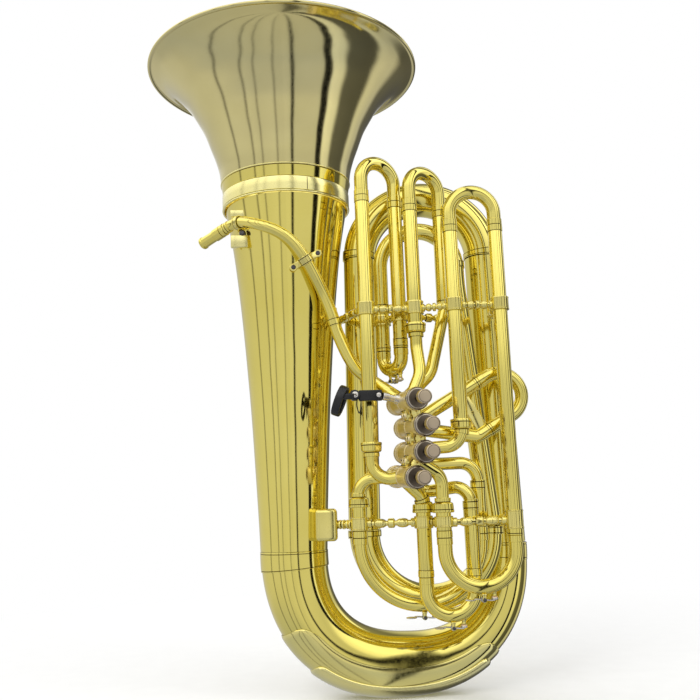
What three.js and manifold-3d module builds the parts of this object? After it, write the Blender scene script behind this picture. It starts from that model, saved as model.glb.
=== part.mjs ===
// A bass tuba with four front-facing piston valves, in millimetres.
// +Z runs up along the bell axis, +X from the bell to the outer branch, and -Y is the side the valve buttons face.
// The origin is the lowest point of the bottom bow's guard plate.

import * as THREE from "three";
import { mergeVertices } from "three/addons/utils/BufferGeometryUtils.js";
import Module from "manifold-3d";

const wasm = await Module();
wasm.setup();

// ---------- Driving dimensions ----------

const GAP = 0.35; // soldered neighbours keep this much apart
const BELL_X = -147.5; // bell axis; Y is 0
const RIM_Z = 901;
const RIM_RADIUS = 200;
const BELL_SEAM_Z = 724; // where the flare meets its ferrule
const BELL_RING_FOOT_Z = 683;
const BOW_DEPTH = 152.8; // centreline drop of the bottom bow
const BOW_HALF_WIDTH = 147.5;
const BOW_SQUARENESS = 2.35; // 2 is an ellipse, more is squarer
const BOW_TOP_Z = 196;

const TUBE = 9.8; // outer radius of the valve tubing
const TUBE_BORE = 8.8;
const VALVE_END = 8.4; // past its flange a leg is this slim
const VALVE_END_BORE = 7.4;
const SLIDE = 7.8; // outer radius of a slide's inner leg
const SLIDE_BORE = 6.8;
const CROOK = 9.4; // outer radius of a slide's visible crook
const FERRULE = 10.4;
const FLANGE = 14.2;
const SMALL_SIDES = 8;
const LARGE_SIDES = 14;
const BELL_SIDES = 26;
const STACK_SIDES = 20;
const BEND_STEP = Math.PI / 5;

const CASING = 13.6; // valve casing, outer radius
const CASING_BORE = 12.2;
const BOTTOM_CAP = 15.4;
const KNUCKLE = 7;
const KNUCKLES_AT = [30, 74]; // along the casings
const PISTON = 11.5;
const VALVE_AXIS = new THREE.Vector3(0.125, -1, -0.04).normalize(); // from the bottom cap to the button
const VALVE_FEET = [
  [-1.5, -56, 388],
  [7, -56, 355],
  [5.5, -56, 321.5],
  [-7, -56, 290.5],
].map((at) => new THREE.Vector3(...at));

// Where each upright leg stands: x, y
const LEG = {
  tuningLeft: [-43, -85],
  tuningRight: [6, -57],
  firstLeft: [23.5, -85],
  firstRight: [69.5, -57],
  thirdLeft: [75.3, -100],
  thirdRight: [137.5, -100],
  thirdLow: [45.5, -100],
  fourthLeft: [-60, -58],
  fourthRight: [101.5, -59.5],
  auxLeft: [22.5, -79],
  auxRight: [85.5, -80.5],
  waterLeft: [-15, -29],
};
const UPPER_BRACE_Z = 516;
const LOWER_BRACE_Z = 230;

// ---------- Materials ----------

const brass = new THREE.MeshStandardMaterial({ color: 0xe3c766, metalness: 1, roughness: 0.18 });
const nickel = new THREE.MeshStandardMaterial({ color: 0xb9b0a4, metalness: 1, roughness: 0.25 });
const steel = new THREE.MeshStandardMaterial({ color: 0xc9ccd0, metalness: 1, roughness: 0.3 });
const blackPlastic = new THREE.MeshStandardMaterial({ color: 0x0b0b0c, metalness: 0, roughness: 0.35 });

const tuba = new THREE.Group();

function add(name, geometry, material = brass) {
  const mesh = new THREE.Mesh(geometry, material);
  mesh.name = name;
  tuba.add(mesh);
  return mesh;
}

// ---------- Joining and cutting ----------

function toSolid(geometry) {
  const bare = geometry.clone();
  bare.deleteAttribute("normal");
  bare.deleteAttribute("uv");
  const merged = mergeVertices(bare, 1e-3);
  return new wasm.Manifold(
    new wasm.Mesh({
      numProp: 3,
      vertProperties: merged.attributes.position.array,
      triVerts: new Uint32Array(merged.index.array),
    }),
  );
}

function toGeometry(solid) {
  const mesh = solid.getMesh();
  return new THREE.BufferGeometry()
    .setAttribute("position", new THREE.BufferAttribute(mesh.vertProperties, 3))
    .setIndex(new THREE.BufferAttribute(mesh.triVerts, 1));
}

const join = (first, ...rest) =>
  toGeometry(rest.reduce((sum, piece) => sum.add(toSolid(piece)), toSolid(first)));

const cut = (body, ...tools) =>
  toGeometry(tools.reduce((left, tool) => left.subtract(toSolid(tool)), toSolid(body)));

// ---------- Routes ----------

// A round bend that starts at `start` heading along `entry` and ends heading along `exit`.
class Bend extends THREE.Curve {
  constructor(start, entry, exit, radius) {
    super();
    this.entry = entry;
    this.turn = entry.angleTo(exit);
    this.radius = radius;
    this.inward = exit.clone().addScaledVector(entry, -Math.cos(this.turn)).normalize();
    this.centre = start.clone().addScaledVector(this.inward, radius);
  }

  getPoint(t) {
    const angle = t * this.turn;
    return this.centre
      .clone()
      .addScaledVector(this.inward, -this.radius * Math.cos(angle))
      .addScaledVector(this.entry, this.radius * Math.sin(angle));
  }
}

// Straight runs joined by round bends. Each corner is [x, y, z, bend radius]; the two ends have no radius.
function route(...corners) {
  const path = new THREE.CurvePath();
  const points = corners.map(([x, y, z]) => new THREE.Vector3(x, y, z));
  path.sections = [0];
  let from = points[0];
  let distance = 0;
  const straightTo = (to) => {
    if (from.distanceTo(to) < 0.01) return;
    path.add(new THREE.LineCurve3(from, to));
    distance += from.distanceTo(to);
    path.sections.push(distance);
  };
  for (let i = 1; i < points.length - 1; i++) {
    const radius = corners[i][3];
    const entry = points[i].clone().sub(points[i - 1]).normalize();
    const exit = points[i + 1].clone().sub(points[i]).normalize();
    const trim = radius * Math.tan(entry.angleTo(exit) / 2);
    const start = points[i].clone().addScaledVector(entry, -trim);
    straightTo(start);
    const bend = new Bend(start, entry, exit, radius);
    path.add(bend);
    const steps = Math.max(1, Math.ceil(bend.turn / BEND_STEP - 0.01));
    const length = bend.turn * radius;
    for (let step = 1; step <= steps; step++) path.sections.push(distance + (length * step) / steps);
    distance += length;
    from = bend.getPoint(1);
  }
  straightTo(points.at(-1));
  path.span = distance;
  return path;
}

// The same for a free curve, with evenly spaced cross-sections.
function along(curve, steps) {
  curve.span = curve.getLength();
  curve.sections = Array.from({ length: steps + 1 }, (_, i) => (curve.span * i) / steps);
  return curve;
}

// A U from one leg to another. `legs` are [x, y]; footZ is where both legs end, bendZ where the half circle starts.
function uRoute(legA, legB, footZ, bendZ) {
  const radius = Math.hypot(legA[0] - legB[0], legA[1] - legB[1]) / 2;
  const cornerZ = bendZ + Math.sign(bendZ - footZ) * radius;
  return route(
    [...legA, footZ],
    [...legA, cornerZ, radius],
    [...legB, cornerZ, radius],
    [...legB, footZ],
  );
}

const upright = ([x, y], fromZ, toZ) => route([x, y, fromZ], [x, y, toZ]);

// ---------- Pipes ----------

// A constant outline with raised bands on it: each band is [from, to, radius], distances from the start.
function banded(radius, span, ...bands) {
  const outline = [[0, radius]];
  for (const [from, to, bandRadius] of bands) {
    if (from > 0) outline.push([from, radius]);
    else outline.pop();
    outline.push([from, bandRadius], [to, bandRadius]);
    if (to < span) outline.push([to, radius]);
  }
  if (outline.at(-1)[0] < span) outline.push([span, radius]);
  return outline;
}

const taper = (start, end, span) => [[0, start], [span, end]];

const narrowed = (outline, wall) => outline.map(([at, radius]) => [at, radius - wall]);

function radiusAt(outline, distance) {
  const next = outline.findIndex(([at]) => at >= distance - 1e-6);
  if (next <= 0) return outline[Math.max(next, 0)][1];
  const [fromAt, fromRadius] = outline[next - 1];
  const [toAt, toRadius] = outline[next];
  return fromRadius + ((toRadius - fromRadius) * (distance - fromAt)) / (toAt - fromAt);
}

// The rings of one surface: every cross-section of the path, and both radii wherever the outline steps.
function ringsOf(path, outline) {
  const rings = outline.map(([at, radius]) => ({ at, radius }));
  for (const at of path.sections) {
    if (!rings.some((ring) => Math.abs(ring.at - at) < 0.5)) rings.push({ at, radius: radiusAt(outline, at) });
  }
  return rings.map((ring, order) => ({ ...ring, order })).sort((a, b) => a.at - b.at || a.order - b.order);
}

// A round pipe along a path. An empty bore makes a rod.
function pipe(path, outline, bore = [], sides = SMALL_SIDES) {
  const outer = ringsOf(path, outline);
  const inner = bore.length ? ringsOf(path, bore) : [];
  const places = [...new Set([...outer, ...inner].map((ring) => ring.at))].sort((a, b) => a - b);
  const frames = new Map();
  let tangent = path.getTangentAt(0);
  const aside = Math.abs(tangent.z) > 0.9 ? new THREE.Vector3(1, 0, 0) : new THREE.Vector3(0, 0, 1);
  let normal = new THREE.Vector3().crossVectors(tangent, aside).normalize();
  for (const at of places) {
    const u = Math.min(at / path.span, 1);
    const ahead = path.getTangentAt(u);
    normal = normal.clone().applyQuaternion(new THREE.Quaternion().setFromUnitVectors(tangent, ahead));
    tangent = ahead;
    const binormal = new THREE.Vector3().crossVectors(tangent, normal);
    frames.set(at, { centre: path.getPointAt(u), normal, binormal });
  }

  const vertices = [];
  const faces = [];
  const ringVertices = ({ at, radius }) => {
    const { centre, normal: across, binormal } = frames.get(at);
    const first = vertices.length / 3;
    for (let side = 0; side < sides; side++) {
      const angle = (2 * Math.PI * side) / sides;
      const spot = centre
        .clone()
        .addScaledVector(across, radius * Math.cos(angle))
        .addScaledVector(binormal, radius * Math.sin(angle));
      vertices.push(spot.x, spot.y, spot.z);
    }
    return first;
  };
  const band = (a, b) => {
    for (let side = 0; side < sides; side++) {
      const next = (side + 1) % sides;
      faces.push(a + side, a + next, b + side, a + next, b + next, b + side);
    }
  };
  const lid = (a, facingBack) => {
    for (let side = 1; side < sides - 1; side++) {
      faces.push(a, ...(facingBack ? [a + side + 1, a + side] : [a + side, a + side + 1]));
    }
  };
  const outside = outer.map(ringVertices);
  outside.slice(1).forEach((ring, i) => band(outside[i], ring));
  if (inner.length) {
    const inside = inner.map(ringVertices);
    inside.slice(1).forEach((ring, i) => band(ring, inside[i]));
    band(inside[0], outside[0]);
    band(outside.at(-1), inside.at(-1));
  } else {
    lid(outside[0], true);
    lid(outside.at(-1), false);
  }
  return new THREE.BufferGeometry()
    .setAttribute("position", new THREE.BufferAttribute(new Float32Array(vertices), 3))
    .setIndex(faces);
}

// A turned rod between two points, with a swelling and two rings, as braces have.
function spindle(from, to, ends = 2.6, belly = 4.4) {
  const path = route(from, to);
  const outline = [
    [0, 0.0],
    [0.3, 0.0],
    [0.38, 1.0],
    [0.62, 1.0],
    [0.7, 0.0],
    [1, 0.0],
  ].map(([share, swell]) => [share * path.span, ends + (belly - ends) * swell]);
  return pipe(path, outline, [], 6);
}

const sleeve = ([x, y], z, height) =>
  pipe(upright([x, y], z - height / 2, z + height / 2), taper(12.6, 12.6, height), taper(10.5, 10.5, height), 10);

// A solid or hollow cylinder along a valve's axis, between two heights above the valve's foot.
function onValve(valve, fromT, toT, outerRadius, boreRadius = 0, sides = 12) {
  const foot = VALVE_FEET[valve];
  const path = along(
    new THREE.LineCurve3(
      foot.clone().addScaledVector(VALVE_AXIS, fromT),
      foot.clone().addScaledVector(VALVE_AXIS, toT),
    ),
    1,
  );
  const bore = boreRadius ? taper(boreRadius, boreRadius, path.span) : [];
  return pipe(path, taper(outerRadius, outerRadius, path.span), bore, sides);
}

function box(width, depth, height, x, y, z) {
  return new THREE.BoxGeometry(width, depth, height).translate(x, y, z);
}

// ---------- Bell ----------

// Radius of the outside of the bell against height, from the foot of the stack to the rim.
const STACK_PROFILE = [[47.2, 196.4], [48.2, 250], [53.2, 350], [60, 445], [68.5, 545], [77.5, 620], [87.6, 682.6]];
const FLARE_PROFILE = [
  [94.6, 724.35], [97.4, 745], [106, 772], [119, 806], [133, 835], [157.5, 870], [178, 888], [197, 898],
];
const RIM_BEAD = [[RIM_RADIUS, 898.6], [RIM_RADIUS + 1.2, RIM_Z], [RIM_RADIUS, RIM_Z + 1.6], [197, RIM_Z + 1.6]];
const FLARE_TOP = [184, 895.4];

function lathe(profile, sides) {
  const outline = profile.map(([radius, z]) => new THREE.Vector2(radius, z));
  outline.push(outline[0].clone());
  const geometry = new THREE.LatheGeometry(outline, sides);
  geometry.rotateX(Math.PI / 2);
  geometry.translate(BELL_X, 0, 0);
  return geometry;
}

// The outline goes up the outside and comes back down the inside, one wall further in.
function bellWall(outside, wall) {
  const inside = outside.map(([radius, z]) => [radius - wall, z]).reverse();
  return [...outside, ...inside];
}

// LatheGeometry turns its profile about Y; laid over to Z its faces look the wrong way when the profile runs upwards.
function flipped(geometry) {
  const index = geometry.index.array;
  for (let i = 0; i < index.length; i += 3) [index[i + 1], index[i + 2]] = [index[i + 2], index[i + 1]];
  return geometry;
}

function bellPiece(profile, sides = BELL_SIDES) {
  const geometry = lathe(profile, sides);
  return toSolid(geometry).volume() < 0 ? flipped(geometry) : geometry;
}

const flareInside = FLARE_PROFILE.slice(0, -1).map(([radius, z]) => [radius - 1.2, z]).reverse();
flareInside[0] = FLARE_TOP;
add("bell_flare", bellPiece([...FLARE_PROFILE, ...RIM_BEAD, ...flareInside]));
add(
  "bell_ring",
  bellPiece([
    [92.4, BELL_RING_FOOT_Z], [93.1, 684], [93.1, 705.6], [92, 706.4], [94.4, 722.8], [95.3, 723.2], [95.3, BELL_SEAM_Z],
    [93.2, BELL_SEAM_Z], [90.8, 706], [90.4, BELL_RING_FOOT_Z],
  ]),
);
add("bell_stack", bellPiece(bellWall(STACK_PROFILE, 1), STACK_SIDES));

// The whole outside of the bell, a little oversize, for trimming what is soldered to it.
const bellCutter = bellPiece([
  [0, 150], [47.2 + GAP, 150], ...STACK_PROFILE.map(([radius, z]) => [radius + GAP, z]), [0, 690],
], STACK_SIDES);

// ---------- Bows and branches ----------

// The bottom bow's centreline: half of a squared-off ellipse, from the bell to the outer branch.
class BottomBow extends THREE.Curve {
  getPoint(t) {
    const angle = Math.PI * t;
    const squared = (value) => Math.sign(value) * Math.abs(value) ** (2 / BOW_SQUARENESS);
    return new THREE.Vector3(
      -BOW_HALF_WIDTH * squared(Math.cos(angle)),
      0,
      BOW_TOP_Z - BOW_DEPTH * squared(Math.sin(angle)),
    );
  }
}
const bowCurve = along(new BottomBow(), 12);
const bowOutline = [
  [0, 47.4], [14, 47.4], [14, 46], [0.3 * bowCurve.span, 42.6], [0.5 * bowCurve.span, 39.6],
  [0.75 * bowCurve.span, 33.6], [bowCurve.span - 14, 29.4], [bowCurve.span - 14, 30.6], [bowCurve.span, 30.6],
];
const bowBore = [
  [0, 44.6], [0.3 * bowCurve.span, 41], [0.5 * bowCurve.span, 38], [0.75 * bowCurve.span, 32], [bowCurve.span, 27.4],
];
add("bottom_bow", pipe(bowCurve, bowOutline, bowBore, LARGE_SIDES));

// Part of a shell round the outside of the bow: between two shares of its length, `reach` degrees to either side.
function bowShell(from, to, inside, outside, reach, steps = 18, arcs = 12) {
  const vertices = [];
  const faces = [];
  const stride = (steps + 1) * (arcs + 1);
  for (const lift of [inside, outside]) {
    for (let i = 0; i <= steps; i++) {
      const share = from + ((to - from) * i) / steps;
      const centre = bowCurve.getPointAt(share);
      const ahead = bowCurve.getTangentAt(share);
      const outwards = new THREE.Vector3(ahead.z, 0, -ahead.x);
      const radius = radiusAt(GUARD_BED, share) + lift;
      for (let k = 0; k <= arcs; k++) {
        const angle = THREE.MathUtils.degToRad(reach) * ((2 * k) / arcs - 1);
        const spot = centre.clone().addScaledVector(outwards, radius * Math.cos(angle));
        vertices.push(spot.x, spot.y + radius * Math.sin(angle), spot.z);
      }
    }
  }
  const quad = (a, b, c, d) => faces.push(a, b, c, a, c, d);
  for (let i = 0; i < steps; i++) {
    for (let k = 0; k < arcs; k++) {
      const a = i * (arcs + 1) + k;
      quad(a, a + 1, a + arcs + 2, a + arcs + 1);
      quad(stride + a, stride + a + arcs + 1, stride + a + arcs + 2, stride + a + 1);
    }
    const low = i * (arcs + 1);
    quad(low, low + arcs + 1, stride + low + arcs + 1, stride + low);
    const high = low + arcs;
    quad(high, stride + high, stride + high + arcs + 1, high + arcs + 1);
  }
  for (let k = 0; k < arcs; k++) {
    quad(k, stride + k, stride + k + 1, k + 1);
    const last = steps * (arcs + 1) + k;
    quad(last, last + 1, stride + last + 1, stride + last);
  }
  const shell = new THREE.BufferGeometry()
    .setAttribute("position", new THREE.BufferAttribute(new Float32Array(vertices), 3))
    .setIndex(faces);
  return toSolid(shell).volume() < 0 ? flipped(shell) : shell;
}

// The bow's outside radius against the share of its length, which the guard lies on.
const GUARD_BED = [[0, 46], [0.3, 42.6], [0.5, 39.6], [0.75, 33.6], [1, 29.4]];
// The guard covers this part of the bow's length in eighteen steps.
const guardShare = (step) => 0.19 + (0.543 * step) / 18;
// A wide thin plate, and on it a thicker strip that takes the knocks and has a flat foot.
add(
  "bow_guard",
  cut(
    join(bowShell(guardShare(0), guardShare(18), 1.5, 2.7, 88, 18), bowShell(guardShare(3), guardShare(17), 2, 5, 52, 14)),
    box(400, 200, 40, 0, 0, -20),
  ),
);


const outerRoute = route([147.5, 0, BOW_TOP_Z + 0.9], [141.6, 0, 607]);
add("outer_branch", pipe(outerRoute, taper(28.6, 26.4, outerRoute.span), taper(27.2, 25, outerRoute.span), LARGE_SIDES));

const topBowRoute = route([141.6, 0, 608], [141.6, 0, 699.9, 91.6], [-41.6, 0, 699.9, 91.6], [-41.6, 0, 608]);
add(
  "top_bow",
  pipe(
    topBowRoute,
    [
      [0, 28.1], [11, 28.1], [11, 26.6], [topBowRoute.span / 2, 25], [topBowRoute.span - 10, 23.6],
      [topBowRoute.span - 10, 25], [topBowRoute.span, 25],
    ],
    taper(25.2, 22.2, topBowRoute.span),
    LARGE_SIDES,
  ),
);

const middleRoute = route([-49, 0, 220.9], [-41.7, 0, 607]);
add("middle_branch", pipe(middleRoute, taper(22.2, 23.4, middleRoute.span), taper(21, 22.2, middleRoute.span), 16));

const innerBowRoute = (() => {
  const legA = [-49, 0];
  const legB = [120.4, -38];
  return uRoute(legA, legB, 220, 214);
})();
add(
  "inner_bottom_bow",
  pipe(
    innerBowRoute,
    [[0, 23.4], [10, 23.4], [10, 22], [innerBowRoute.span - 10, 15.6], [innerBowRoute.span - 10, 16.8], [innerBowRoute.span, 16.8]],
    taper(20.8, 14.2, innerBowRoute.span),
    16,
  ),
);

const innerRoute = route([120.4, -38, 221.6], [118.9, -37.8, 240, 300], [92, -33.4, 560, 300], [92, -33, 584]);
add("inner_branch", pipe(innerRoute, taper(15.4, 13.4, innerRoute.span), taper(14.2, 12.2, innerRoute.span), 14));

// The inner top bow comes down again as the tall leg that the small water slide hangs from.
const innerTopRoute = route([92, -33, 584.4], [92, -33, 641.5, 53.5], [-15, -29, 641.5, 53.5], [...LEG.waterLeft, 466]);
add(
  "inner_top_bow",
  pipe(
    innerTopRoute,
    [
      [0, 14.8], [9, 14.8], [9, 13.4], [150, 10.2], [innerTopRoute.span - 8, TUBE], [innerTopRoute.span - 8, FERRULE],
      [innerTopRoute.span, FERRULE],
    ],
    [[0, 12.2], [150, 9], [innerTopRoute.span, TUBE_BORE]],
    12,
  ),
);

// ---------- Pull slides ----------

const ENGAGED = 60; // how far a long slide's legs reach into their tubes

// A slide: a crook with two inner legs. mouthZ is where the outer tubes end; the crook's collars start a hair beyond.
function slide(legA, legB, mouthZ, bendZ, engaged = ENGAGED) {
  const away = Math.sign(bendZ - mouthZ);
  const path = uRoute(legA, legB, mouthZ - away * engaged, bendZ);
  const collar = engaged + 0.4;
  const outline = banded(
    CROOK,
    path.span,
    [0, collar, SLIDE],
    [collar, collar + 7, FERRULE - 0.6],
    [path.span - collar - 7, path.span - collar, FERRULE - 0.6],
    [path.span - collar, path.span, SLIDE],
  );
  const steps = outline.filter(([at], i) => i === 0 || at !== outline[i - 1][0] || outline[i][1] !== outline[i - 1][1]);
  return { path, geometry: pipe(path, steps, taper(SLIDE_BORE, SLIDE_BORE, path.span)) };
}

const TOP_MOUTH = { tuning: 676, first: 661.5, third: 626 };
const TOP_BEND = { tuning: 701, first: 687, third: 643.5 };
const LOW_MOUTH = { fourth: 212, aux: 160, third: 210 };
const LOW_BEND = { fourth: 204, aux: 143, third: 193 };

add("main_tuning_slide", slide(LEG.tuningLeft, LEG.tuningRight, TOP_MOUTH.tuning, TOP_BEND.tuning).geometry);
add("first_valve_slide", slide(LEG.firstLeft, LEG.firstRight, TOP_MOUTH.first, TOP_BEND.first).geometry);
add("third_valve_upper_slide", slide(LEG.thirdLeft, LEG.thirdRight, TOP_MOUTH.third, TOP_BEND.third).geometry);

// A water key's seat on a crook that hangs down: a drain nipple and two posts for the key's hub.
const KEY_DROP = 6.5; // pivot below the crook's lowest point
const KEY_CUP_AT = 14; // along the key from the pivot
function withKeySeat(geometry, pivot, heading) {
  const seat = new THREE.CylinderGeometry(2.6, 2.6, 7, 8)
    .rotateX(Math.PI / 2)
    .translate(KEY_CUP_AT, 0, KEY_DROP + 0.8);
  const posts = [-5.6, 5.6].map((y) => box(3.4, 1.6, 9.4, 0, y, KEY_DROP - 3.3));
  const bracket = join(box(3.4, 12.8, 2.6, 0, 0, KEY_DROP - 0.1), ...posts);
  const place = (piece) => piece.rotateZ(heading).translate(pivot.x, pivot.y, pivot.z);
  return join(geometry, place(seat), place(bracket));
}

// The key itself: hub, lever, finger plate and cork cup, pointing along +X before it is turned to its heading.
function waterKey(pivot, heading, reach = 17) {
  const hub = new THREE.CylinderGeometry(2.3, 2.3, 8.6, 8);
  const lever = box(reach + KEY_CUP_AT, 3.6, 1.6, (KEY_CUP_AT - reach) / 2, 0, 0);
  const plate = new THREE.CylinderGeometry(6.6, 6.6, 1.6, 12).rotateX(Math.PI / 2).translate(-reach, 0, 0);
  const cup = new THREE.CylinderGeometry(4.4, 4.4, 4.1, 10).rotateX(Math.PI / 2).translate(KEY_CUP_AT, 0, 1.45);
  return join(hub, lever, plate, cup).rotateZ(heading).translate(pivot.x, pivot.y, pivot.z);
}

const bottomOf = (legA, legB, bendZ) => {
  const radius = Math.hypot(legA[0] - legB[0], legA[1] - legB[1]) / 2;
  return new THREE.Vector3(
    (legA[0] + legB[0]) / 2,
    (legA[1] + legB[1]) / 2,
    bendZ - radius - CROOK - KEY_DROP,
  );
};
const headingOf = (legA, legB) => Math.atan2(legB[1] - legA[1], legB[0] - legA[0]);

const lowSlides = [
  ["fourth_valve_slide", LEG.fourthLeft, LEG.fourthRight, LOW_MOUTH.fourth, LOW_BEND.fourth, 40],
  ["fourth_valve_short_slide", LEG.auxLeft, LEG.auxRight, LOW_MOUTH.aux, LOW_BEND.aux, 46],
  ["third_valve_lower_slide", LEG.thirdLow, LEG.thirdRight, LOW_MOUTH.third, LOW_BEND.third, 34],
  ["water_slide", LEG.waterLeft, LEG.tuningRight, 465.5, 455, 40],
];
lowSlides.forEach(([name, legA, legB, mouthZ, bendZ, engaged], i) => {
  const pivot = bottomOf(legA, legB, bendZ);
  const heading = headingOf(legA, legB);
  const crook = slide(legA, legB, mouthZ, bendZ, engaged).geometry;
  add(name, withKeySeat(crook, pivot, heading));
  add(`water_key_${i + 1}`, waterKey(pivot, heading, name === "water_slide" ? 13 : 17), nickel);
});

// ---------- Valves ----------

const CASING_TOP = 95;
const casings = VALVE_FEET.map((_, i) => onValve(i, 0, CASING_TOP, CASING));
const bottomCaps = VALVE_FEET.map((_, i) => onValve(i, -8, 2, BOTTOM_CAP));
const bores = VALVE_FEET.map((_, i) => onValve(i, 0.5, CASING_TOP + 1, CASING_BORE));
// Knuckles carry the air from one casing to the next.
const knuckles = (radius) =>
  [0, 1, 2].flatMap((i) =>
    KNUCKLES_AT.map((t) => {
      const [from, to] = [i, i + 1].map((valve) => VALVE_FEET[valve].clone().addScaledVector(VALVE_AXIS, t));
      const path = route(from.toArray(), to.toArray());
      return pipe(path, taper(radius, radius, path.span));
    }),
  );
add("valve_block", cut(join(...casings, ...bottomCaps, ...knuckles(KNUCKLE)), ...bores));

// Keeps pipes clear of the casings that they run up to.
const valveCutters = [
  ...VALVE_FEET.map((_, i) => onValve(i, -9, CASING_TOP + 3, CASING + GAP)),
  ...VALVE_FEET.map((_, i) => onValve(i, -8 - GAP, 2 + GAP, BOTTOM_CAP + GAP)),
  ...knuckles(KNUCKLE + GAP),
];
const trimmedAtValves = (geometry) => cut(geometry, ...valveCutters);

VALVE_FEET.forEach((_, i) => {
  const number = i + 1;
  add(`top_cap_${number}`, onValve(i, CASING_TOP + GAP, 103, 14.8, 5), nickel);
  const stem = onValve(i, CASING_TOP - 3, 127, 3.2, 0, 8);
  const button = onValve(i, 125, 136, 9);
  const piston = onValve(i, 42, CASING_TOP - 0.5, PISTON);
  const hollow = onValve(i, 40, CASING_TOP - 5, PISTON - 1.6, 0, 8);
  add(`piston_${number}`, join(cut(piston, hollow), stem, button), nickel);
});

// Each return spring stands on its bottom cap; it is drawn at its compressed length, clear of the piston's travel.
function springOn(valve) {
  const turns = 4;
  const steps = turns * 6;
  const foot = VALVE_FEET[valve];
  const across = new THREE.Vector3(1, 0, 0).cross(VALVE_AXIS).normalize();
  const binormal = new THREE.Vector3().crossVectors(VALVE_AXIS, across);
  const points = Array.from({ length: steps + 1 }, (_, i) => {
    const angle = (i * Math.PI) / 3;
    return foot
      .clone()
      .addScaledVector(VALVE_AXIS, 2.6 + (i * 16) / steps)
      .addScaledVector(across, 8.6 * Math.cos(angle))
      .addScaledVector(binormal, 8.6 * Math.sin(angle));
  });
  const path = along(new THREE.CatmullRomCurve3(points), steps);
  return pipe(path, taper(0.9, 0.9, path.span), [], 3);
}
VALVE_FEET.forEach((_, i) => add(`valve_spring_${i + 1}`, springOn(i), steel));

// ---------- Valve tubing ----------

// A leg from a mouth straight down (or up) and then through any further corners. `joint` is how far from the mouth
// it slims down to the valve's own tubing: at a cup-shaped flange, or under a plain ferrule.
function leg(path, { joint = 0, flange = true, bands = [] } = {}) {
  const { span } = path;
  const outline = [[0, FERRULE], [8, FERRULE], [8, TUBE]];
  for (const [from, to] of bands) outline.push([from, TUBE], [from, FERRULE], [to, FERRULE], [to, TUBE]);
  if (!joint) {
    outline.push([span, TUBE]);
    return pipe(path, outline, taper(TUBE_BORE, TUBE_BORE, span));
  }
  const [top, low] = [joint - 6.5, joint + 6.5];
  outline.push([top, TUBE]);
  if (flange) outline.push([top, FLANGE], [joint, FLANGE], [low, FERRULE], [low + 6, FERRULE], [low + 6, VALVE_END]);
  else outline.push([top, FERRULE], [low, FERRULE], [low, VALVE_END]);
  outline.push([span, VALVE_END]);
  return pipe(path, outline, [[0, TUBE_BORE], [top, TUBE_BORE], [low, VALVE_END_BORE], [span, VALVE_END_BORE]]);
}

const tuningLeft = route(
  [...LEG.tuningLeft, TOP_MOUTH.tuning],
  [...LEG.tuningLeft, 284, 24],
  [-8, -96, 289],
);
add("tuning_leg_left", trimmedAtValves(leg(tuningLeft, { joint: TOP_MOUTH.tuning - 329 })));
add("tuning_leg_right", leg(upright(LEG.tuningRight, TOP_MOUTH.tuning, 466), { bands: [[202, 210]] }));

const firstLeft = route(
  [...LEG.firstLeft, TOP_MOUTH.first],
  [...LEG.firstLeft, 462, 40],
  [26, -93, 425, 40],
  [8, -101, 386],
);
add("first_leg_left", trimmedAtValves(leg(firstLeft, { joint: TOP_MOUTH.first - 488 })));

const firstRight = route(
  [...LEG.firstRight, TOP_MOUTH.first],
  [...LEG.firstRight, 520, 40],
  [44, -66, 428, 36],
  [2, -74, 389],
);
add("first_leg_right", trimmedAtValves(leg(firstRight, { joint: 135, flange: false })));

const thirdLeft = route(
  [...LEG.thirdLeft, TOP_MOUTH.third],
  [...LEG.thirdLeft, 327, 22],
  [10, -90, 324],
);
add("third_leg_left", trimmedAtValves(leg(thirdLeft, { joint: TOP_MOUTH.third - 355 })));
add("third_leg_right", leg(upright(LEG.thirdRight, TOP_MOUTH.third, LOW_MOUTH.third), { bands: [[408, 416]] }));

const thirdLow = route([...LEG.thirdLow, LOW_MOUTH.third], [...LEG.thirdLow, 289, 22], [8, -122, 311]);
add("third_leg_low", trimmedAtValves(leg(thirdLow, { joint: 248 - LOW_MOUTH.third })));

const auxLeft = route([...LEG.auxLeft, LOW_MOUTH.aux], [...LEG.auxLeft, 262, 20], [-4, -93, 286]);
add("fourth_short_leg_left", trimmedAtValves(leg(auxLeft, { joint: 248.5 - LOW_MOUTH.aux })));

const auxRight = route([...LEG.auxRight, LOW_MOUTH.aux], [...LEG.auxRight, 276, 20], [30, -59, 269, 20], [-4, -72, 288]);
add("fourth_short_leg_right", trimmedAtValves(leg(auxRight, { joint: 90, flange: false })));

const fourthLeft = route([...LEG.fourthLeft, LOW_MOUTH.fourth], [...LEG.fourthLeft, 288, 22], [-6, -69, 291]);
add("fourth_leg_left", trimmedAtValves(leg(fourthLeft, { joint: 258 - LOW_MOUTH.fourth })));

const fourthRight = route([...LEG.fourthRight, LOW_MOUTH.fourth], [...LEG.fourthRight, 306, 24], [4, -66, 305]);
add("fourth_leg_right", trimmedAtValves(leg(fourthRight, { joint: 64, flange: false })));

// ---------- Second valve ----------

const SECOND_Y = -70;
const SECOND_TILT = Math.PI / 6; // the slide points up and outwards
const SECOND_HALF_WIDTH = 31;
const SECOND_CENTRE = [136, 394.5]; // x and z of the crook's centre
const SECOND_ENGAGED = 12;

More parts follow.
